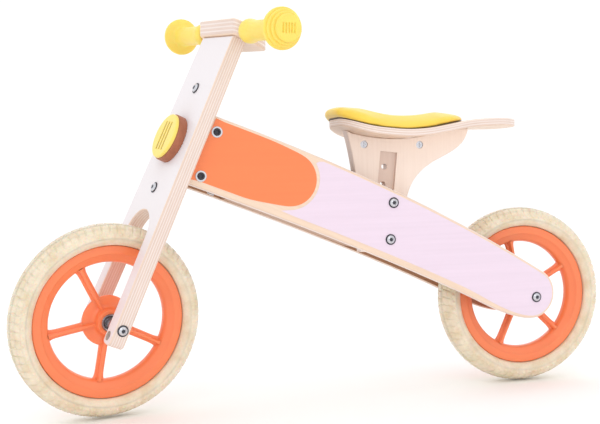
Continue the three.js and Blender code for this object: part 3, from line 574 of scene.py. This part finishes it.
def inside_edge(curves, margins, steps=40):
    """A line inside quadratic curves: each point moves square to the curve, to the left of its run.

    It moves by the margin at its x, which changes evenly between the given (x, margin) pairs.
    """
    t = np.linspace(0, 1, steps)[:, None]
    line = np.concatenate([(1 - t) ** 2 * a + 2 * t * (1 - t) * b + t ** 2 * c
                           for a, b, c in np.array(curves, float)])
    line = line[np.append(True, np.linalg.norm(np.diff(line, axis=0), axis=1) > 1e-6)]
    run = np.gradient(line, axis=0)
    run /= np.linalg.norm(run, axis=1, keepdims=True)
    margin = np.interp(line[:, :1], *np.array(margins, float).T)
    return line + margin * np.stack([-run[:, 1], run[:, 0]], -1)


def arc(x, z, radius, start, end, steps=28):
    """Points of a circle about (x, z), from one angle to another in degrees."""
    angle = np.radians(np.linspace(start, end, steps))
    return np.stack([x + radius * np.cos(angle), z + radius * np.sin(angle)], -1)


def panel_paint_outlines():
    """The two painted fields of a side panel, as outlines of (x, z) from the ground under the rear hub.

    The orange field runs from the head's front edge to a round end; the lilac one starts a few millimetres
    after it, hollow where it follows that round end, and runs to the panel's own round end.
    """
    top = inside_edge(PANEL_TOP, [(0, 3.4), (200, 3.8)])
    foot = inside_edge(PANEL_FOOT, [(8, 3.6), (110, 8.6)])
    corners = spread([(484.4, 301.8), (448.4, 378.0)], 3.0)
    body = np.concatenate([
        top[(top[:, 0] > 362.0) & (top[:, 0] < 444.0)], arc(352.0, 298.0, 35.6, 118, 280),
        foot[(foot[:, 0] > 398.0) & (foot[:, 0] < 482.0)]])
    body = spread(body, 2.5)
    for _ in range(30):
        body[1:-1] = (body[:-2] + 2 * body[1:-1] + body[2:]) / 4
    orange = np.concatenate([corners, body])
    lilac = np.concatenate([
        [(366.5, 258.0)], arc(353.5, 299.0, 40.8, 274, 152), [(313.3, 320.3)],
        top[(top[:, 0] < 308.0) & (top[:, 0] > -8)], arc(6.5, 130.5, 31.4, 122, 268, 36),
        foot[(foot[:, 0] > 12.0) & (foot[:, 0] < 356.0)]])
    return {"orange": orange, "lilac": lilac}


class BIKE_OT_paint(bpy.types.Operator):
    """Lay the orange and lilac lacquer on the outer faces of the side panels"""
    bl_idname = "bike.make_paint"
    bl_label = "Paint panels"

    def execute(self, context):
        colours, sizes = settings()
        for field, outline in panel_paint_outlines().items():
            material = lacquer(f"Satin lacquer, {field}", getattr(colours, field))
            for side, sign in SIDES:
                face = sign * (PANEL_FACE + 0.02)
                film = prism(outline, face, face + sign * sizes.paint_film)
                add_piece(f"paint_{field}_{side}", film, BIKE_AXES, material, "root")
        return {"FINISHED"}


BOARD_UNDERSIDE = [(0.0, 363.0), (60.0, 364.5), (98.0, 362.5), (130.0, 357.2), (160.0, 352.4), (186.0, 350.8),
                   (212.0, 352.2), (246.0, 357.6), (272.0, 367.8), (294.0, 379.0)]


def saddle_plan(rear, front, half_width, rear_reach, front_reach, steps=24):
    """The saddle's outline from above: a rectangle whose four corners are quarter circles, as (x, y)."""
    turn = np.radians(np.linspace(0, 90, steps))
    parts = []
    for x, y, reach, start in ((front, half_width, front_reach, 0), (rear, half_width, rear_reach, 90),
                               (rear, -half_width, rear_reach, 180), (front, -half_width, front_reach, 270)):
        centre = np.array([x - np.sign(x - (rear + front) / 2) * reach, y - np.sign(y) * reach])
        angle = turn + math.radians(start)
        parts.append(centre + reach * np.stack([np.cos(angle), np.sin(angle)], -1))
    return spread(np.concatenate([*parts, parts[0][:1]]), 4.0)[:-1]


def drawn_in(outline, share, rear, front):
    """The outline drawn in, by each share, to the middle line between rear and front: rows of (x, y)."""
    spine = np.stack([np.clip(outline[:, 0], rear, front), np.zeros(len(outline))], -1)
    return outline * (1 - share) + spine * share


def over_board(plan, height):
    """Points of the bike's frame over plan's (x, y), at a height in millimetres over the board's underside."""
    z = through(BOARD_UNDERSIDE, plan[..., 0]) + height
    return np.concatenate([plan, z[..., None]], -1)


class BIKE_OT_saddle_board(bpy.types.Operator):
    """Shape the bent plywood board of the saddle"""
    bl_idname = "bike.make_saddle_board"
    bl_label = "Make saddle board"

    def execute(self, context):
        outline = saddle_plan(15.0, 274.0, 66.0, 54.0, 52.0)
        # rows of (share of the way in from the outline, height in the board): under face, edge, top face
        rows = np.array([(1.0, 0.0), (0.75, 0.0), (0.5, 0.0), (0.25, 0.0), (0.05, 0.0), (0.02, 0.12), (0.006, 0.5),
                         (0.0, 1.3), (0.0, 3.2), (0.0, 5.0), (0.0, 6.8), (0.0, 8.7), (0.006, 9.5), (0.02, 9.88),
                         (0.05, 10.0), (0.25, 10.0), (0.5, 10.0), (0.75, 10.0), (1.0, 10.0)])
        height = rows[:, 1:2]
        plan = drawn_in(outline, rows[:, :1, None], 69.0, 222.0)
        depth = np.broadcast_to(height - BOARD_THICKNESS / 2, plan.shape[:2])
        board = birch_ply("Birch plywood, bent and varnished", UPWARDS, 0.0, BOARD_THICKNESS, 1.5, LENGTHWISE,
                          attribute="depth_mm")
        add_piece("saddle_board", sheet(over_board(plan, height + 0.15)), BIKE_AXES, board, "root",
                  ["seat_board"], extra={"depth_mm": depth})
        return {"FINISHED"}


def read_points(mesh):
    """A mesh's vertices as rows of three."""
    points = np.empty(len(mesh.vertices) * 3, np.float32)
    mesh.vertices.foreach_get("co", points)
    return points.reshape(-1, 3).astype(float)


class BIKE_OT_cushion(bpy.types.Operator):
    """Stuff the saddle cushion by a cloth simulation, and lay it on the board"""
    bl_idname = "bike.make_cushion"
    bl_label = "Make cushion"

    def execute(self, context):
        colours, sizes = settings()
        outline = saddle_plan(93.5, 280.5, 61.5, 49.0, 49.0)
        rows = np.array([(1.0, 0.0), (0.6, 0.0), (0.3, 0.0), (0.06, 0.0), (0.0, 0.18), (0.0, 0.5), (0.05, 0.78),
                         (0.15, 0.92), (0.35, 0.98), (0.65, 1.0), (1.0, 1.0)])
        plan = drawn_in(outline, rows[:, :1, None], 145.0, 229.0)
        part = (plan[..., 0] - 92.0) / 190.0
        crown = through([(0.0, 10.0), (0.15, 12.6), (0.4, 13.4), (0.65, 14.6), (0.85, 19.0), (1.0, 20.5)], part)
        points = over_board(plan, 10.9 + crown * rows[:, 1:2])
        cover = coated_cloth("Coated knit, embossed, over foam", colours.cushion)
        pad = add_piece("cushion", sheet(points), BIKE_AXES, cover, "root", ["seat_cushion"],
                        smooth=180)
        self.stuff(pad, sizes.cushion_rise * MM)
        base_rows = np.array([(1.0, 0.0), (0.5, 0.0), (0.0, 0.0), (0.0, 1.0), (0.5, 1.0), (1.0, 1.0)])
        inner = saddle_plan(95.5, 275.0, 59.8, 47.0, 46.0)
        plan = drawn_in(inner, base_rows[:, :1, None], 145.0, 229.0)
        base = moulded("Polypropylene sheet, dark brown", linear("#5A4632"), 0.5, 0.002, 0.0001)
        add_piece("cushion_base", sheet(over_board(plan, 10.2 + base_rows[:, 1:2])), BIKE_AXES, base, "root")
        return {"FINISHED"}

    def stuff(self, pad, most):
        """Remeshes the pad, blows it up as cloth, and keeps each point within most of its start and off the board."""
        scene = bpy.context.scene
        voxels = pad.modifiers.new("Voxels", "REMESH")
        voxels.mode, voxels.voxel_size, voxels.use_smooth_shade = "VOXEL", 0.0042, True
        self.apply(pad)
        start = read_points(pad.data)
        result = start.copy()
        cloth = pad.modifiers.new("Stuffing", "CLOTH")
        cloth.settings.use_pressure = True
        cloth.settings.uniform_pressure_force = 4.0
        cloth.settings.tension_stiffness = cloth.settings.compression_stiffness = 30
        cloth.settings.effector_weights.gravity = 0.0
        for number in range(1, 17):
            scene.frame_set(number)
        self.apply(pad)
        scene.frame_set(1)
        move = read_points(pad.data) - start
        size = np.linalg.norm(move, axis=1, keepdims=True)
        result = start + move * np.minimum(1.0, most / np.maximum(size, 1e-9))
        floor = through(BOARD_UNDERSIDE, (result[:, 0] - BIKE_AXES[0][0]) / MM) * MM + 11.0 * MM
        result[:, 2] = np.maximum(result[:, 2], floor)
        low, high = (np.array(corner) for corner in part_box("seat_cushion"))
        result = np.clip(result, low + 0.0004, high - 0.0004)
        pad.data.vertices.foreach_set("co", result.astype(np.float32).ravel())
        pad.data.polygons.foreach_set("use_smooth", np.ones(len(pad.data.polygons), bool))
        fair = pad.modifiers.new("Fair", "SMOOTH")
        fair.factor, fair.iterations = 0.5, 6
        finer = pad.modifiers.new("Finer", "SUBSURF")
        finer.levels = finer.render_levels = 1
        self.apply(pad)
        pad.data.update()

    def apply(self, pad):
        """Makes the modified mesh the object's own mesh, and removes the modifiers."""
        graph = bpy.context.evaluated_depsgraph_get()
        made = bpy.data.meshes.new_from_object(pad.evaluated_get(graph))
        old = pad.data
        pad.modifiers.clear()
        pad.data = made
        made.name = old.name
        bpy.data.meshes.remove(old)


class BIKE_OT_tyres(bpy.types.Operator):
    """Mould the foam tyres with their blocked tread"""
    bl_idname = "bike.make_tyres"
    bl_label = "Make tyres"

    def execute(self, context):
        colours, sizes = settings()
        material = foam("EVA foam, moulded", colours.tyre, tuple(colours.tyre_dark))
        side = [(90.5, 8.6, 0.5), (98.4, 10.0, 0.5), (98.4, 15.4, 2.0), (103.5, 20.6, 4.5), (110.5, 21.6, 4.0),
                (117.6, 17.6, 4.5), (122.8, 9.6, 6.0), (125.0, 0.0, 6.0)]
        section = mirrored(side, 6)
        section = spread(np.concatenate([section, section[:1]]), 1.5)[:-1]
        steps = 14
        columns = sizes.tread_blocks * steps
        points, faces = lathe(section, columns, closed=True)
        radius, height = section[:, :1], section[:, 1:2]
        phase = (np.arange(columns) / float(steps))[None, :]

        def groove(shift, width):
            """1 in the middle of a groove and 0 on the block, with a soft edge, once in each block's pitch."""
            near = np.abs((phase + shift) % 1.0 - 0.5)
            edge = np.clip((width - near) / 0.07, 0, 1)
            return edge ** 2 * (3 - 2 * edge)

        outer = np.clip((radius - 112.5) / 5.0, 0, 1)
        shoulder = groove(np.abs(0.022 * height), 0.13) * outer * (np.abs(height) > 7.5)
        centre = groove(0.5, 0.12) * (np.abs(height) < 6.0)
        furrow = np.exp(-((np.abs(height) - 6.8) / 0.9) ** 2) * (radius > 118)
        studs = np.exp(-((radius - 112.0) / 1.8) ** 2 - ((phase % 1.0 - 0.5) / 0.2) ** 2)
        cut = sizes.tread_depth * np.maximum(np.maximum(shoulder, centre * outer), furrow)
        inwards = 1 - cut / radius
        points = points * np.stack([inwards, np.ones_like(inwards), inwards], -1)
        valley = np.exp(-((radius - 112.0) / 2.6) ** 2) * (np.abs(height) > 14)
        points[..., 1] += np.sign(height) * valley * (1.5 * studs - 0.7)
        for place, axes, body in WHEELS:
            add_piece(f"tyre_{place}", (points, faces), axes, material, body, [f"{place}_tyre"],
                      smooth=60)
        return {"FINISHED"}


def spoke(angle):
    """One spoke: a cross-shaped section, swept out from the hub to the rim, and flared where it meets each."""
    section = rounded([(5.4, -2.0, 0.8), (5.4, 2.0, 0.8), (2.4, 2.4, 0.8), (1.4, 8.4, 0.7), (-1.4, 8.4, 0.7),
                       (-2.4, 2.4, 0.8), (-5.4, 2.0, 0.8), (-5.4, -2.0, 0.8), (-2.4, -2.4, 0.8),
                       (-1.4, -8.4, 0.7), (1.4, -8.4, 0.7), (2.4, -2.4, 0.8)], 4)
    reach = np.linspace(15.0, 77.5, 40)[:, None]
    flare = 1 + 0.75 * np.exp(-(77.5 - reach) / 3.2) + 0.25 * np.exp(-(reach - 18) / 7.0)
    wide = section[None, :, 0] * flare
    high = np.broadcast_to(section[None, :, 1], wide.shape)
    x = reach * math.cos(angle) - wide * math.sin(angle)
    z = reach * math.sin(angle) + wide * math.cos(angle)
    return np.stack([x, high, z], -1), grid_faces(len(reach), len(section))


class BIKE_OT_rims(bpy.types.Operator):
    """Mould the rims with their five spokes and hubs, and press in the ball bearings"""
    bl_idname = "bike.make_rims"
    bl_label = "Make rims"

    def execute(self, context):
        colours, _ = settings()
        plastic = moulded("Polypropylene, moulded", colours.rim, 0.34, 0.0012, 0.0001, 0.18, 0.95, 0.2)
        race = steel("Bearing steel, ground", linear("#B9BBC2"), 0.22)
        shield = steel("Pressed steel shield", linear("#5B5C62"), 0.42)
        channel = mirrored([(75.6, 2.6, 1.0), (77.6, 7.6, 2.5), (85.4, 11.4, 2.0), (87.4, 13.1, 0.8),
                            (97.6, 13.1, 1.2), (98.0, 10.6, 0.6), (90.1, 9.0, 1.0)], 5)
        hub = mirrored([(8.2, 7.6, 0.2), (11.4, 7.6, 0.2), (11.5, 16.2, 0.4), (12.4, 17.0, 0.5), (16.4, 17.0, 1.0),
                        (17.6, 6.4, 1.5), (21.0, 3.2, 2.0), (31.8, 2.9, 1.2), (33.0, 0.0, 1.2)], 4)
        for place, axes, body in WHEELS:
            spokes = [spoke(math.radians(SPOKE_TURNS[place] + 72 * i)) for i in range(5)]
            whole = joined(lathe(channel, 144, closed=True), lathe(hub, 72, closed=True), *spokes)
            add_piece(f"rim_{place}", whole, axes, plastic, body, [f"{place}_rim"], smooth=32)
            for side, sign in SIDES:
                ring = rounded([(4.4, 8.2, 0.2), (11.0, 8.2, 0.3), (11.0, 15.0, 0.4), (9.2, 15.0, 0.2),
                                (9.0, 14.4, 0.1), (6.6, 14.4, 0.1), (6.4, 15.0, 0.2), (4.4, 15.0, 0.3)], 4)
                cover = np.array([(6.7, 14.45), (7.8, 14.6), (8.9, 14.45), (7.8, 14.3)])
                add_piece(f"bearing_{place}_{side}", lathe(ring * [1, sign], 48, closed=True), axes, race, body,
                          [f"{place}_bearing_{side}"])
                add_piece(f"shield_{place}_{side}", lathe(cover * [1, sign], 48, closed=True), axes, shield, body)
        return {"FINISHED"}


def hexagon(angle, reach):
    """The radius of a hexagon's side at each angle: reach over the cosine of the angle from the side's middle."""
    return reach / np.cos((angle % (np.pi / 3)) - np.pi / 6)


def bolt_surface(head_radius, head_height, length, shank=3.9, key=2.6, dome=1.0, sides=48):
    """A cap bolt turned round local Y, its head's foot at y = 0: a hexagonal socket, a domed head and a shank."""
    angle = np.arange(sides) * 2 * np.pi / sides
    depth = head_height * 0.68
    flat = np.array([(0.0, head_height - depth), (0.0, head_height - depth), (0.0, head_height - 0.25),
                     (0.0, head_height)])
    socket = np.stack([np.zeros(sides), hexagon(angle, key - 0.1), hexagon(angle, key - 0.05),
                       hexagon(angle, key + 0.25)])
    profile = rounded([(key + 1.0, head_height, 0.2), (head_radius - dome, head_height - 0.15 * dome, 0.5 * dome),
                       (head_radius, head_height * 0.45, 0.5), (head_radius, 0.0, 0.15), (shank, 0.0, 0.1),
                       (shank, -length + 0.6, 0.4), (shank - 0.6, -length, 0.3), (0.0, -length, 0.0)], 4)
    radius = np.concatenate([socket, np.broadcast_to(profile[:, :1], (len(profile), sides))])
    height = np.concatenate([np.broadcast_to(flat[:, 1:], (4, sides)),
                             np.broadcast_to(profile[:, 1:], (len(profile), sides))])
    points = np.stack([radius * np.cos(angle), height, radius * np.sin(angle)], -1)
    return points, grid_faces(len(radius), sides)


class BIKE_OT_bolts(bpy.types.Operator):
    """Fit the bolts and sleeve nuts, with their sockets and washers; the black socket fills and black rings under the
    bright heads are painted shade
    """
    bl_idname = "bike.make_bolts"
    bl_label = "Make bolts"

    def execute(self, context):
        colours, _ = settings()
        zinc = steel("Zinc plated steel", colours.zinc, 0.24)
        # black is blackened steel on the head bolts, and painted shade for the socket fills and the rings under the
        # bright heads.
        black = steel("Blackened steel", colours.black, 0.34)
        washer_and_shade_ring_line = rounded([(4.6, 0.05, 0.1), (7.2, 0.05, 0.2), (7.2, 0.8, 0.4), (5.4, 1.0, 0.2), (4.6, 1.0, 0.1)],
                              4)
        for node_name, node in sorted(frame["nodes"].items()):
            if not node_name.startswith(("head_bolt", "head_nut", "seat_bolt", "seat_nut", "rear_axle", "front_axle",
                                         "fork_bolt")):
                continue
            body = node["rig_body"]
            if node_name.startswith("fork_bolt"):
                height = FORK_BOLT_HEIGHTS[node_name.removeprefix("fork_bolt_")]
                origin = placed([FORK_HALF_THICKNESS + 0.25, 0, height], FORK_AXES)[0]
                rows, length = np.array([UP_THE_FORK, AHEAD, ACROSS]), FORK_BOLT_LENGTH
            elif node_name.startswith("front_axle"):
                sign = -1 if node_name.endswith("nut") else 1
                origin = placed([0, sign * AXLE_HEAD_FOOT, 0], FORK_AXES)[0]
                rows, length = np.array([sign * AHEAD, sign * ACROSS, UP_THE_FORK]), AXLE_LENGTH
            else:
                low, high = (np.array(corner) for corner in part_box(node_name))
                sign = -1 if "nut" in node_name else 1
                origin = (low + high) / 2
                origin[1] = BIKE_AXES[0][1] + sign * (PANEL_FACE + 0.3) * MM
                rows = np.diag([sign, sign, 1.0])
                length = min(48.0, (high - low)[1] / MM - 6)
            bright = not node_name.startswith("head_")
            if bright:
                cap = bolt_surface(5.6, 3.1, length, key=2.3, dome=1.8)
                # Painted shade: a black hexagon fills the socket, standing in for the shade inside it.
                corner = np.radians(np.arange(0, 360, 60))
                painted_socket_shade = prism(2.5 * np.stack([np.cos(corner), np.sin(corner)], -1), 1.1, 2.3)
                add_piece(f"socket_{node_name}", painted_socket_shade, (origin, rows), black, body)
            else:
                cap = bolt_surface(5.0, 3.2, length, key=2.3, dome=0.9)
            add_piece(f"cap_{node_name}", cap, (origin, rows), zinc if bright else black, body, [node_name])
            # Under a bright head the ring is black, as painted shade for the dark ring round the head; under a black
            # head it is a zinc washer.
            add_piece(f"washer_{node_name}", lathe(washer_and_shade_ring_line, 64, closed=True), (origin, rows),
                      black if bright else zinc, body)
        return {"FINISHED"}


class BIKE_OT_badge(bpy.types.Operator):
    """Turn the round badge on the fork: a stained disc and a yellow face with three grooves"""
    bl_idname = "bike.make_badge"
    bl_label = "Make badge"

    def execute(self, context):
        colours, _ = settings()
        brown = solid_birch("Beech, stained brown", colours.brown, (160.0, 160.0, 9.0))
        # The badge's grooves are darkened as painted shade.
        yellow = lacquer("Satin lacquer, yellow", colours.badge, (200.0, 200.0, 8.0), 0.3, "groove_depth")
        origin = placed([FORK_HALF_THICKNESS + 0.3, 0, BADGE_HEIGHT], FORK_AXES)[0]
        axes = (origin, np.array([ACROSS, AHEAD, UP_THE_FORK]))
        disc = rounded([(0, 0, 0), (31.4, 0, 0.4), (31.4, 11.0, 1.4), (0, 11.0, 0)], 6)
        add_piece("badge_back", lathe(disc, 128), axes, brown, "steering", ["badge_disc"])
        line = rounded([(0, 11.3, 0), (30.0, 11.3, 0.3), (30.0, 15.2, 2.2), (0, 15.2, 0)], 8)
        points, faces = lathe(spread(line, 0.45), 160)
        x, y, z = np.moveaxis(points, -1, 0)
        across = np.minimum(np.minimum(np.abs(x), np.abs(x - 8.5)), np.abs(x + 8.5))
        ends = np.clip((19.5 - np.abs(z)) / 1.2, 0, 1)
        groove = np.clip((2.1 - across) / 0.7, 0, 1) * ends * (y > 14.5)
        depth = groove * groove * (3 - 2 * groove)
        points[..., 1] -= 2.2 * depth
        add_piece("badge_face", (points, faces), axes, yellow, "steering", ["badge_cap"], smooth=50,
                  extra={"groove_depth": depth})
        return {"FINISHED"}


class BIKE_OT_grips(bpy.types.Operator):
    """Mould the soft grips with their collars, flanges and ridged ends"""
    bl_idname = "bike.make_grips"
    bl_label = "Make grips"

    def execute(self, context):
        colours, _ = settings()
        rubber = moulded("Thermoplastic rubber, moulded", colours.grip, 0.40, 0.0010, 0.0001, 0.25, 0.94, 0.1)
        a, b = GRIP_START, GRIP_END
        line = rounded([(7.4, a + 0.2, 0.2), (12.2, a + 0.2, 1.2), (15.5, a + 5.5, 3.0), (15.5, a + 11.5, 3.5),
                        (12.8, a + 23.0, 6.0), (12.7, b - 34.0, 4.0), (13.6, b - 25.0, 3.5), (21.5, b - 22.4, 3.0),
                        (25.2, b - 20.4, 1.2), (25.2, b - 15.6, 1.3), (22.0, b - 15.0, 0.6), (22.0, b - 13.8, 0.4),
                        (22.8, b - 13.2, 0.3), (22.4, b - 10.4, 1.1), (18.8, b - 10.0, 0.5), (18.8, b - 8.8, 0.4),
                        (19.8, b - 8.2, 0.3), (19.4, b - 5.6, 1.1), (15.4, b - 5.2, 0.5), (15.4, b - 4.2, 0.4),
                        (16.8, b - 3.6, 0.4), (16.2, b - 0.9, 1.2), (12.0, b - 0.3, 2.0), (0.0, b - 0.1, 0.0)], 7)
        line = spread(line, 0.9)
        bore = np.array([(0.0, b - 7.0), (7.4, b - 7.0)])
        points, faces = lathe(np.concatenate([bore, line]), 120)
        x, y, z = np.moveaxis(points, -1, 0)
        lines = np.min(np.abs(x[..., None] - np.array([-7.6, -3.8, 0.0, 3.8, 7.6])), -1)
        cut = np.clip((1.0 - lines) / 0.5, 0, 1) * np.clip((6.4 - np.abs(z)) / 0.8, 0, 1) * (y > b - 2.5)
        points[..., 1] -= 1.7 * cut
        ribs = 0.14 * (1 - np.cos((y - a) * 2 * np.pi / 3.4)) * ((y > a + 25) & (y < b - 44))
        radius = np.hypot(x, z)
        scale = 1 - ribs / np.maximum(radius, 1.0) * (radius > 9)
        points = np.stack([x * scale, points[..., 1], z * scale], -1)
        origin = placed([0, 0, BAR_HEIGHT], FORK_AXES)[0]
        upright = UPWARDS - ACROSS[2] * ACROSS
        upright /= np.linalg.norm(upright)
        for side, sign in SIDES:
            axes = (origin, np.array([sign * np.cross(ACROSS, upright), sign * ACROSS, upright]))
            add_piece(f"rubber_grip_{side}", (points, faces), axes, rubber, "steering",
                      [f"grip_{side}"], smooth=45)
        return {"FINISHED"}


class BIKE_OT_hardware(bpy.types.Operator):
    """Finish the metal and nylon parts that the frame holds"""
    bl_idname = "bike.finish_hardware"
    bl_label = "Finish hardware"

    def execute(self, context):
        colours, _ = settings()
        zinc = steel("Zinc plated steel, drawn", colours.zinc, 0.26)
        black = steel("Blackened steel, pressed", colours.black, 0.4)
        nylon = moulded("Nylon, moulded", linear("#ECEAE4"), 0.4, 0.001, 0.0001, 0.1)
        for node_name, node in sorted(frame["nodes"].items()):
            if node.hide_render or node.data.materials and "Birch" in node.data.materials[0].name:
                continue
            if node_name.startswith(("seat_screw", "seat_barrel", "plate_screw", "handlebar", "steering_pin",
                                     "rear_spacer", "front_spacer")):
                dress(node_name, zinc)
            elif node_name.startswith(("hinge", "leg_screw", "fork_nut", "steering_pin_ring")):
                dress(node_name, black)
            elif node_name.startswith("steering_bush"):
                dress(node_name, nylon)
        return {"FINISHED"}


class BIKE_OT_stage(bpy.types.Operator):
    """Set the floor, the soft lights and the camera"""
    bl_idname = "bike.make_stage"
    bl_label = "Set stage"

    def execute(self, context):
        scene = context.scene
        angle = np.linspace(0, 2 * np.pi, 96, endpoint=False)
        disc = np.stack([FLOOR_RADIUS * np.cos(angle), FLOOR_RADIUS * np.sin(angle), np.full(96, -0.0005)], -1)
        mesh = bpy.data.meshes.new("floor")
        mesh.from_pydata(disc.tolist(), [], [list(range(96))])
        floor = bpy.data.objects.new("floor", mesh)
        scene.collection.objects.link(floor)
        paper, tree, shader, place = start_material("Painted studio floor", linear("#FBFBFA"), 0.9)
        grey = ramp(tree, mottle(tree, place, 0.6), [(0.3, linear("#FDFDFC")), (0.7, linear("#FFFFFF"))])
        tree.links.new(grey, shader.inputs["Base Color"])
        mesh.materials.append(paper)

        world = bpy.data.worlds.new("Studio")
        world.use_nodes = True
        world.node_tree.nodes["Background"].inputs["Color"].default_value = (1, 1, 1, 1)
        world.node_tree.nodes["Background"].inputs["Strength"].default_value = 1.06
        scene.world = world
        for name, place, target, size, power in (
                ("key", (1.6, 2.6, 2.4), (0.0, 0.0, 0.25), 1.6, 8.0),
                ("fill", (-1.8, 2.4, 1.2), (0.0, 0.0, 0.25), 2.4, 3.0),
                ("top", (0.0, 0.2, 3.0), (0.0, 0.0, 0.2), 2.2, 4.0),
                ("back", (-0.8, -2.6, 1.8), (0.0, 0.0, 0.25), 2.4, 6.0)):
            light = bpy.data.lights.new(name, "AREA")
            light.shape, light.size, light.energy = "DISK", size, power
            lamp = bpy.data.objects.new(name, light)
            lamp.location = place
            lamp.rotation_mode = "QUATERNION"
            lamp.rotation_quaternion = (Vector(target) - Vector(place)).to_track_quat("-Z", "Y")
            scene.collection.objects.link(lamp)

        yaw, pitch, roll = (math.radians(turn) for turn in (CAMERA_YAW, CAMERA_PITCH, CAMERA_ROLL))
        # The camera looks back along its yaw and down by its pitch; roll then turns right and up about that line.
        look = np.array([-math.sin(yaw) * math.cos(pitch), -math.cos(yaw) * math.cos(pitch), -math.sin(pitch)])
        right = np.cross(look, [0, 0, 1])
        right /= np.linalg.norm(right)
        up = np.cross(right, look)
        right, up = (math.cos(roll) * right + math.sin(roll) * up, -math.sin(roll) * right + math.cos(roll) * up)
        data = bpy.data.cameras.new("camera")
        data.sensor_width, data.lens = SENSOR_WIDTH, LENS
        camera = bpy.data.objects.new("camera", data)
        turn = Matrix([[*row] for row in np.stack([right, up, -look], 1).tolist()]).to_4x4()
        turn.translation = Vector(BIKE_AXES[0] + CAMERA_PLACE)
        camera.matrix_world = turn
        scene.collection.objects.link(camera)
        scene.camera = camera
        scene.view_settings.view_transform = "Standard"
        return {"FINISHED"}


class BIKE_PT_panel(bpy.types.Panel):
    """The bike's pieces, sizes and colours in the sidebar"""
    bl_idname = "BIKE_PT_panel"
    bl_label = "Balance Bike"
    bl_space_type = "VIEW_3D"
    bl_region_type = "UI"
    bl_category = "Balance Bike"

    def draw(self, context):
        layout = self.layout
        for operator in STEPS:
            layout.operator(operator.bl_idname, text=operator.bl_label)
        for group in (context.scene.bike_sizes, context.scene.bike_colours):
            column = layout.column(align=True)
            for key in group.__annotations__:
                column.prop(group, key)


STEPS = (BIKE_OT_stage, BIKE_OT_boards, BIKE_OT_paint, BIKE_OT_saddle_board, BIKE_OT_cushion, BIKE_OT_tyres,
         BIKE_OT_rims, BIKE_OT_bolts, BIKE_OT_badge, BIKE_OT_grips, BIKE_OT_hardware)
GROUPS = (BikeColours, BikeSizes)


def register():
    for entry in (*GROUPS, *STEPS, BIKE_PT_panel):
        bpy.utils.register_class(entry)
    bpy.types.Scene.bike_colours = bpy.props.PointerProperty(type=BikeColours)
    bpy.types.Scene.bike_sizes = bpy.props.PointerProperty(type=BikeSizes)


def unregister():
    del bpy.types.Scene.bike_sizes
    del bpy.types.Scene.bike_colours
    for entry in reversed((*GROUPS, *STEPS, BIKE_PT_panel)):
        bpy.utils.unregister_class(entry)


def main():
    register()
    for step in STEPS:
        group, name = step.bl_idname.split(".")
        getattr(getattr(bpy.ops, group), name)()


if __name__ == "__main__":
    main()
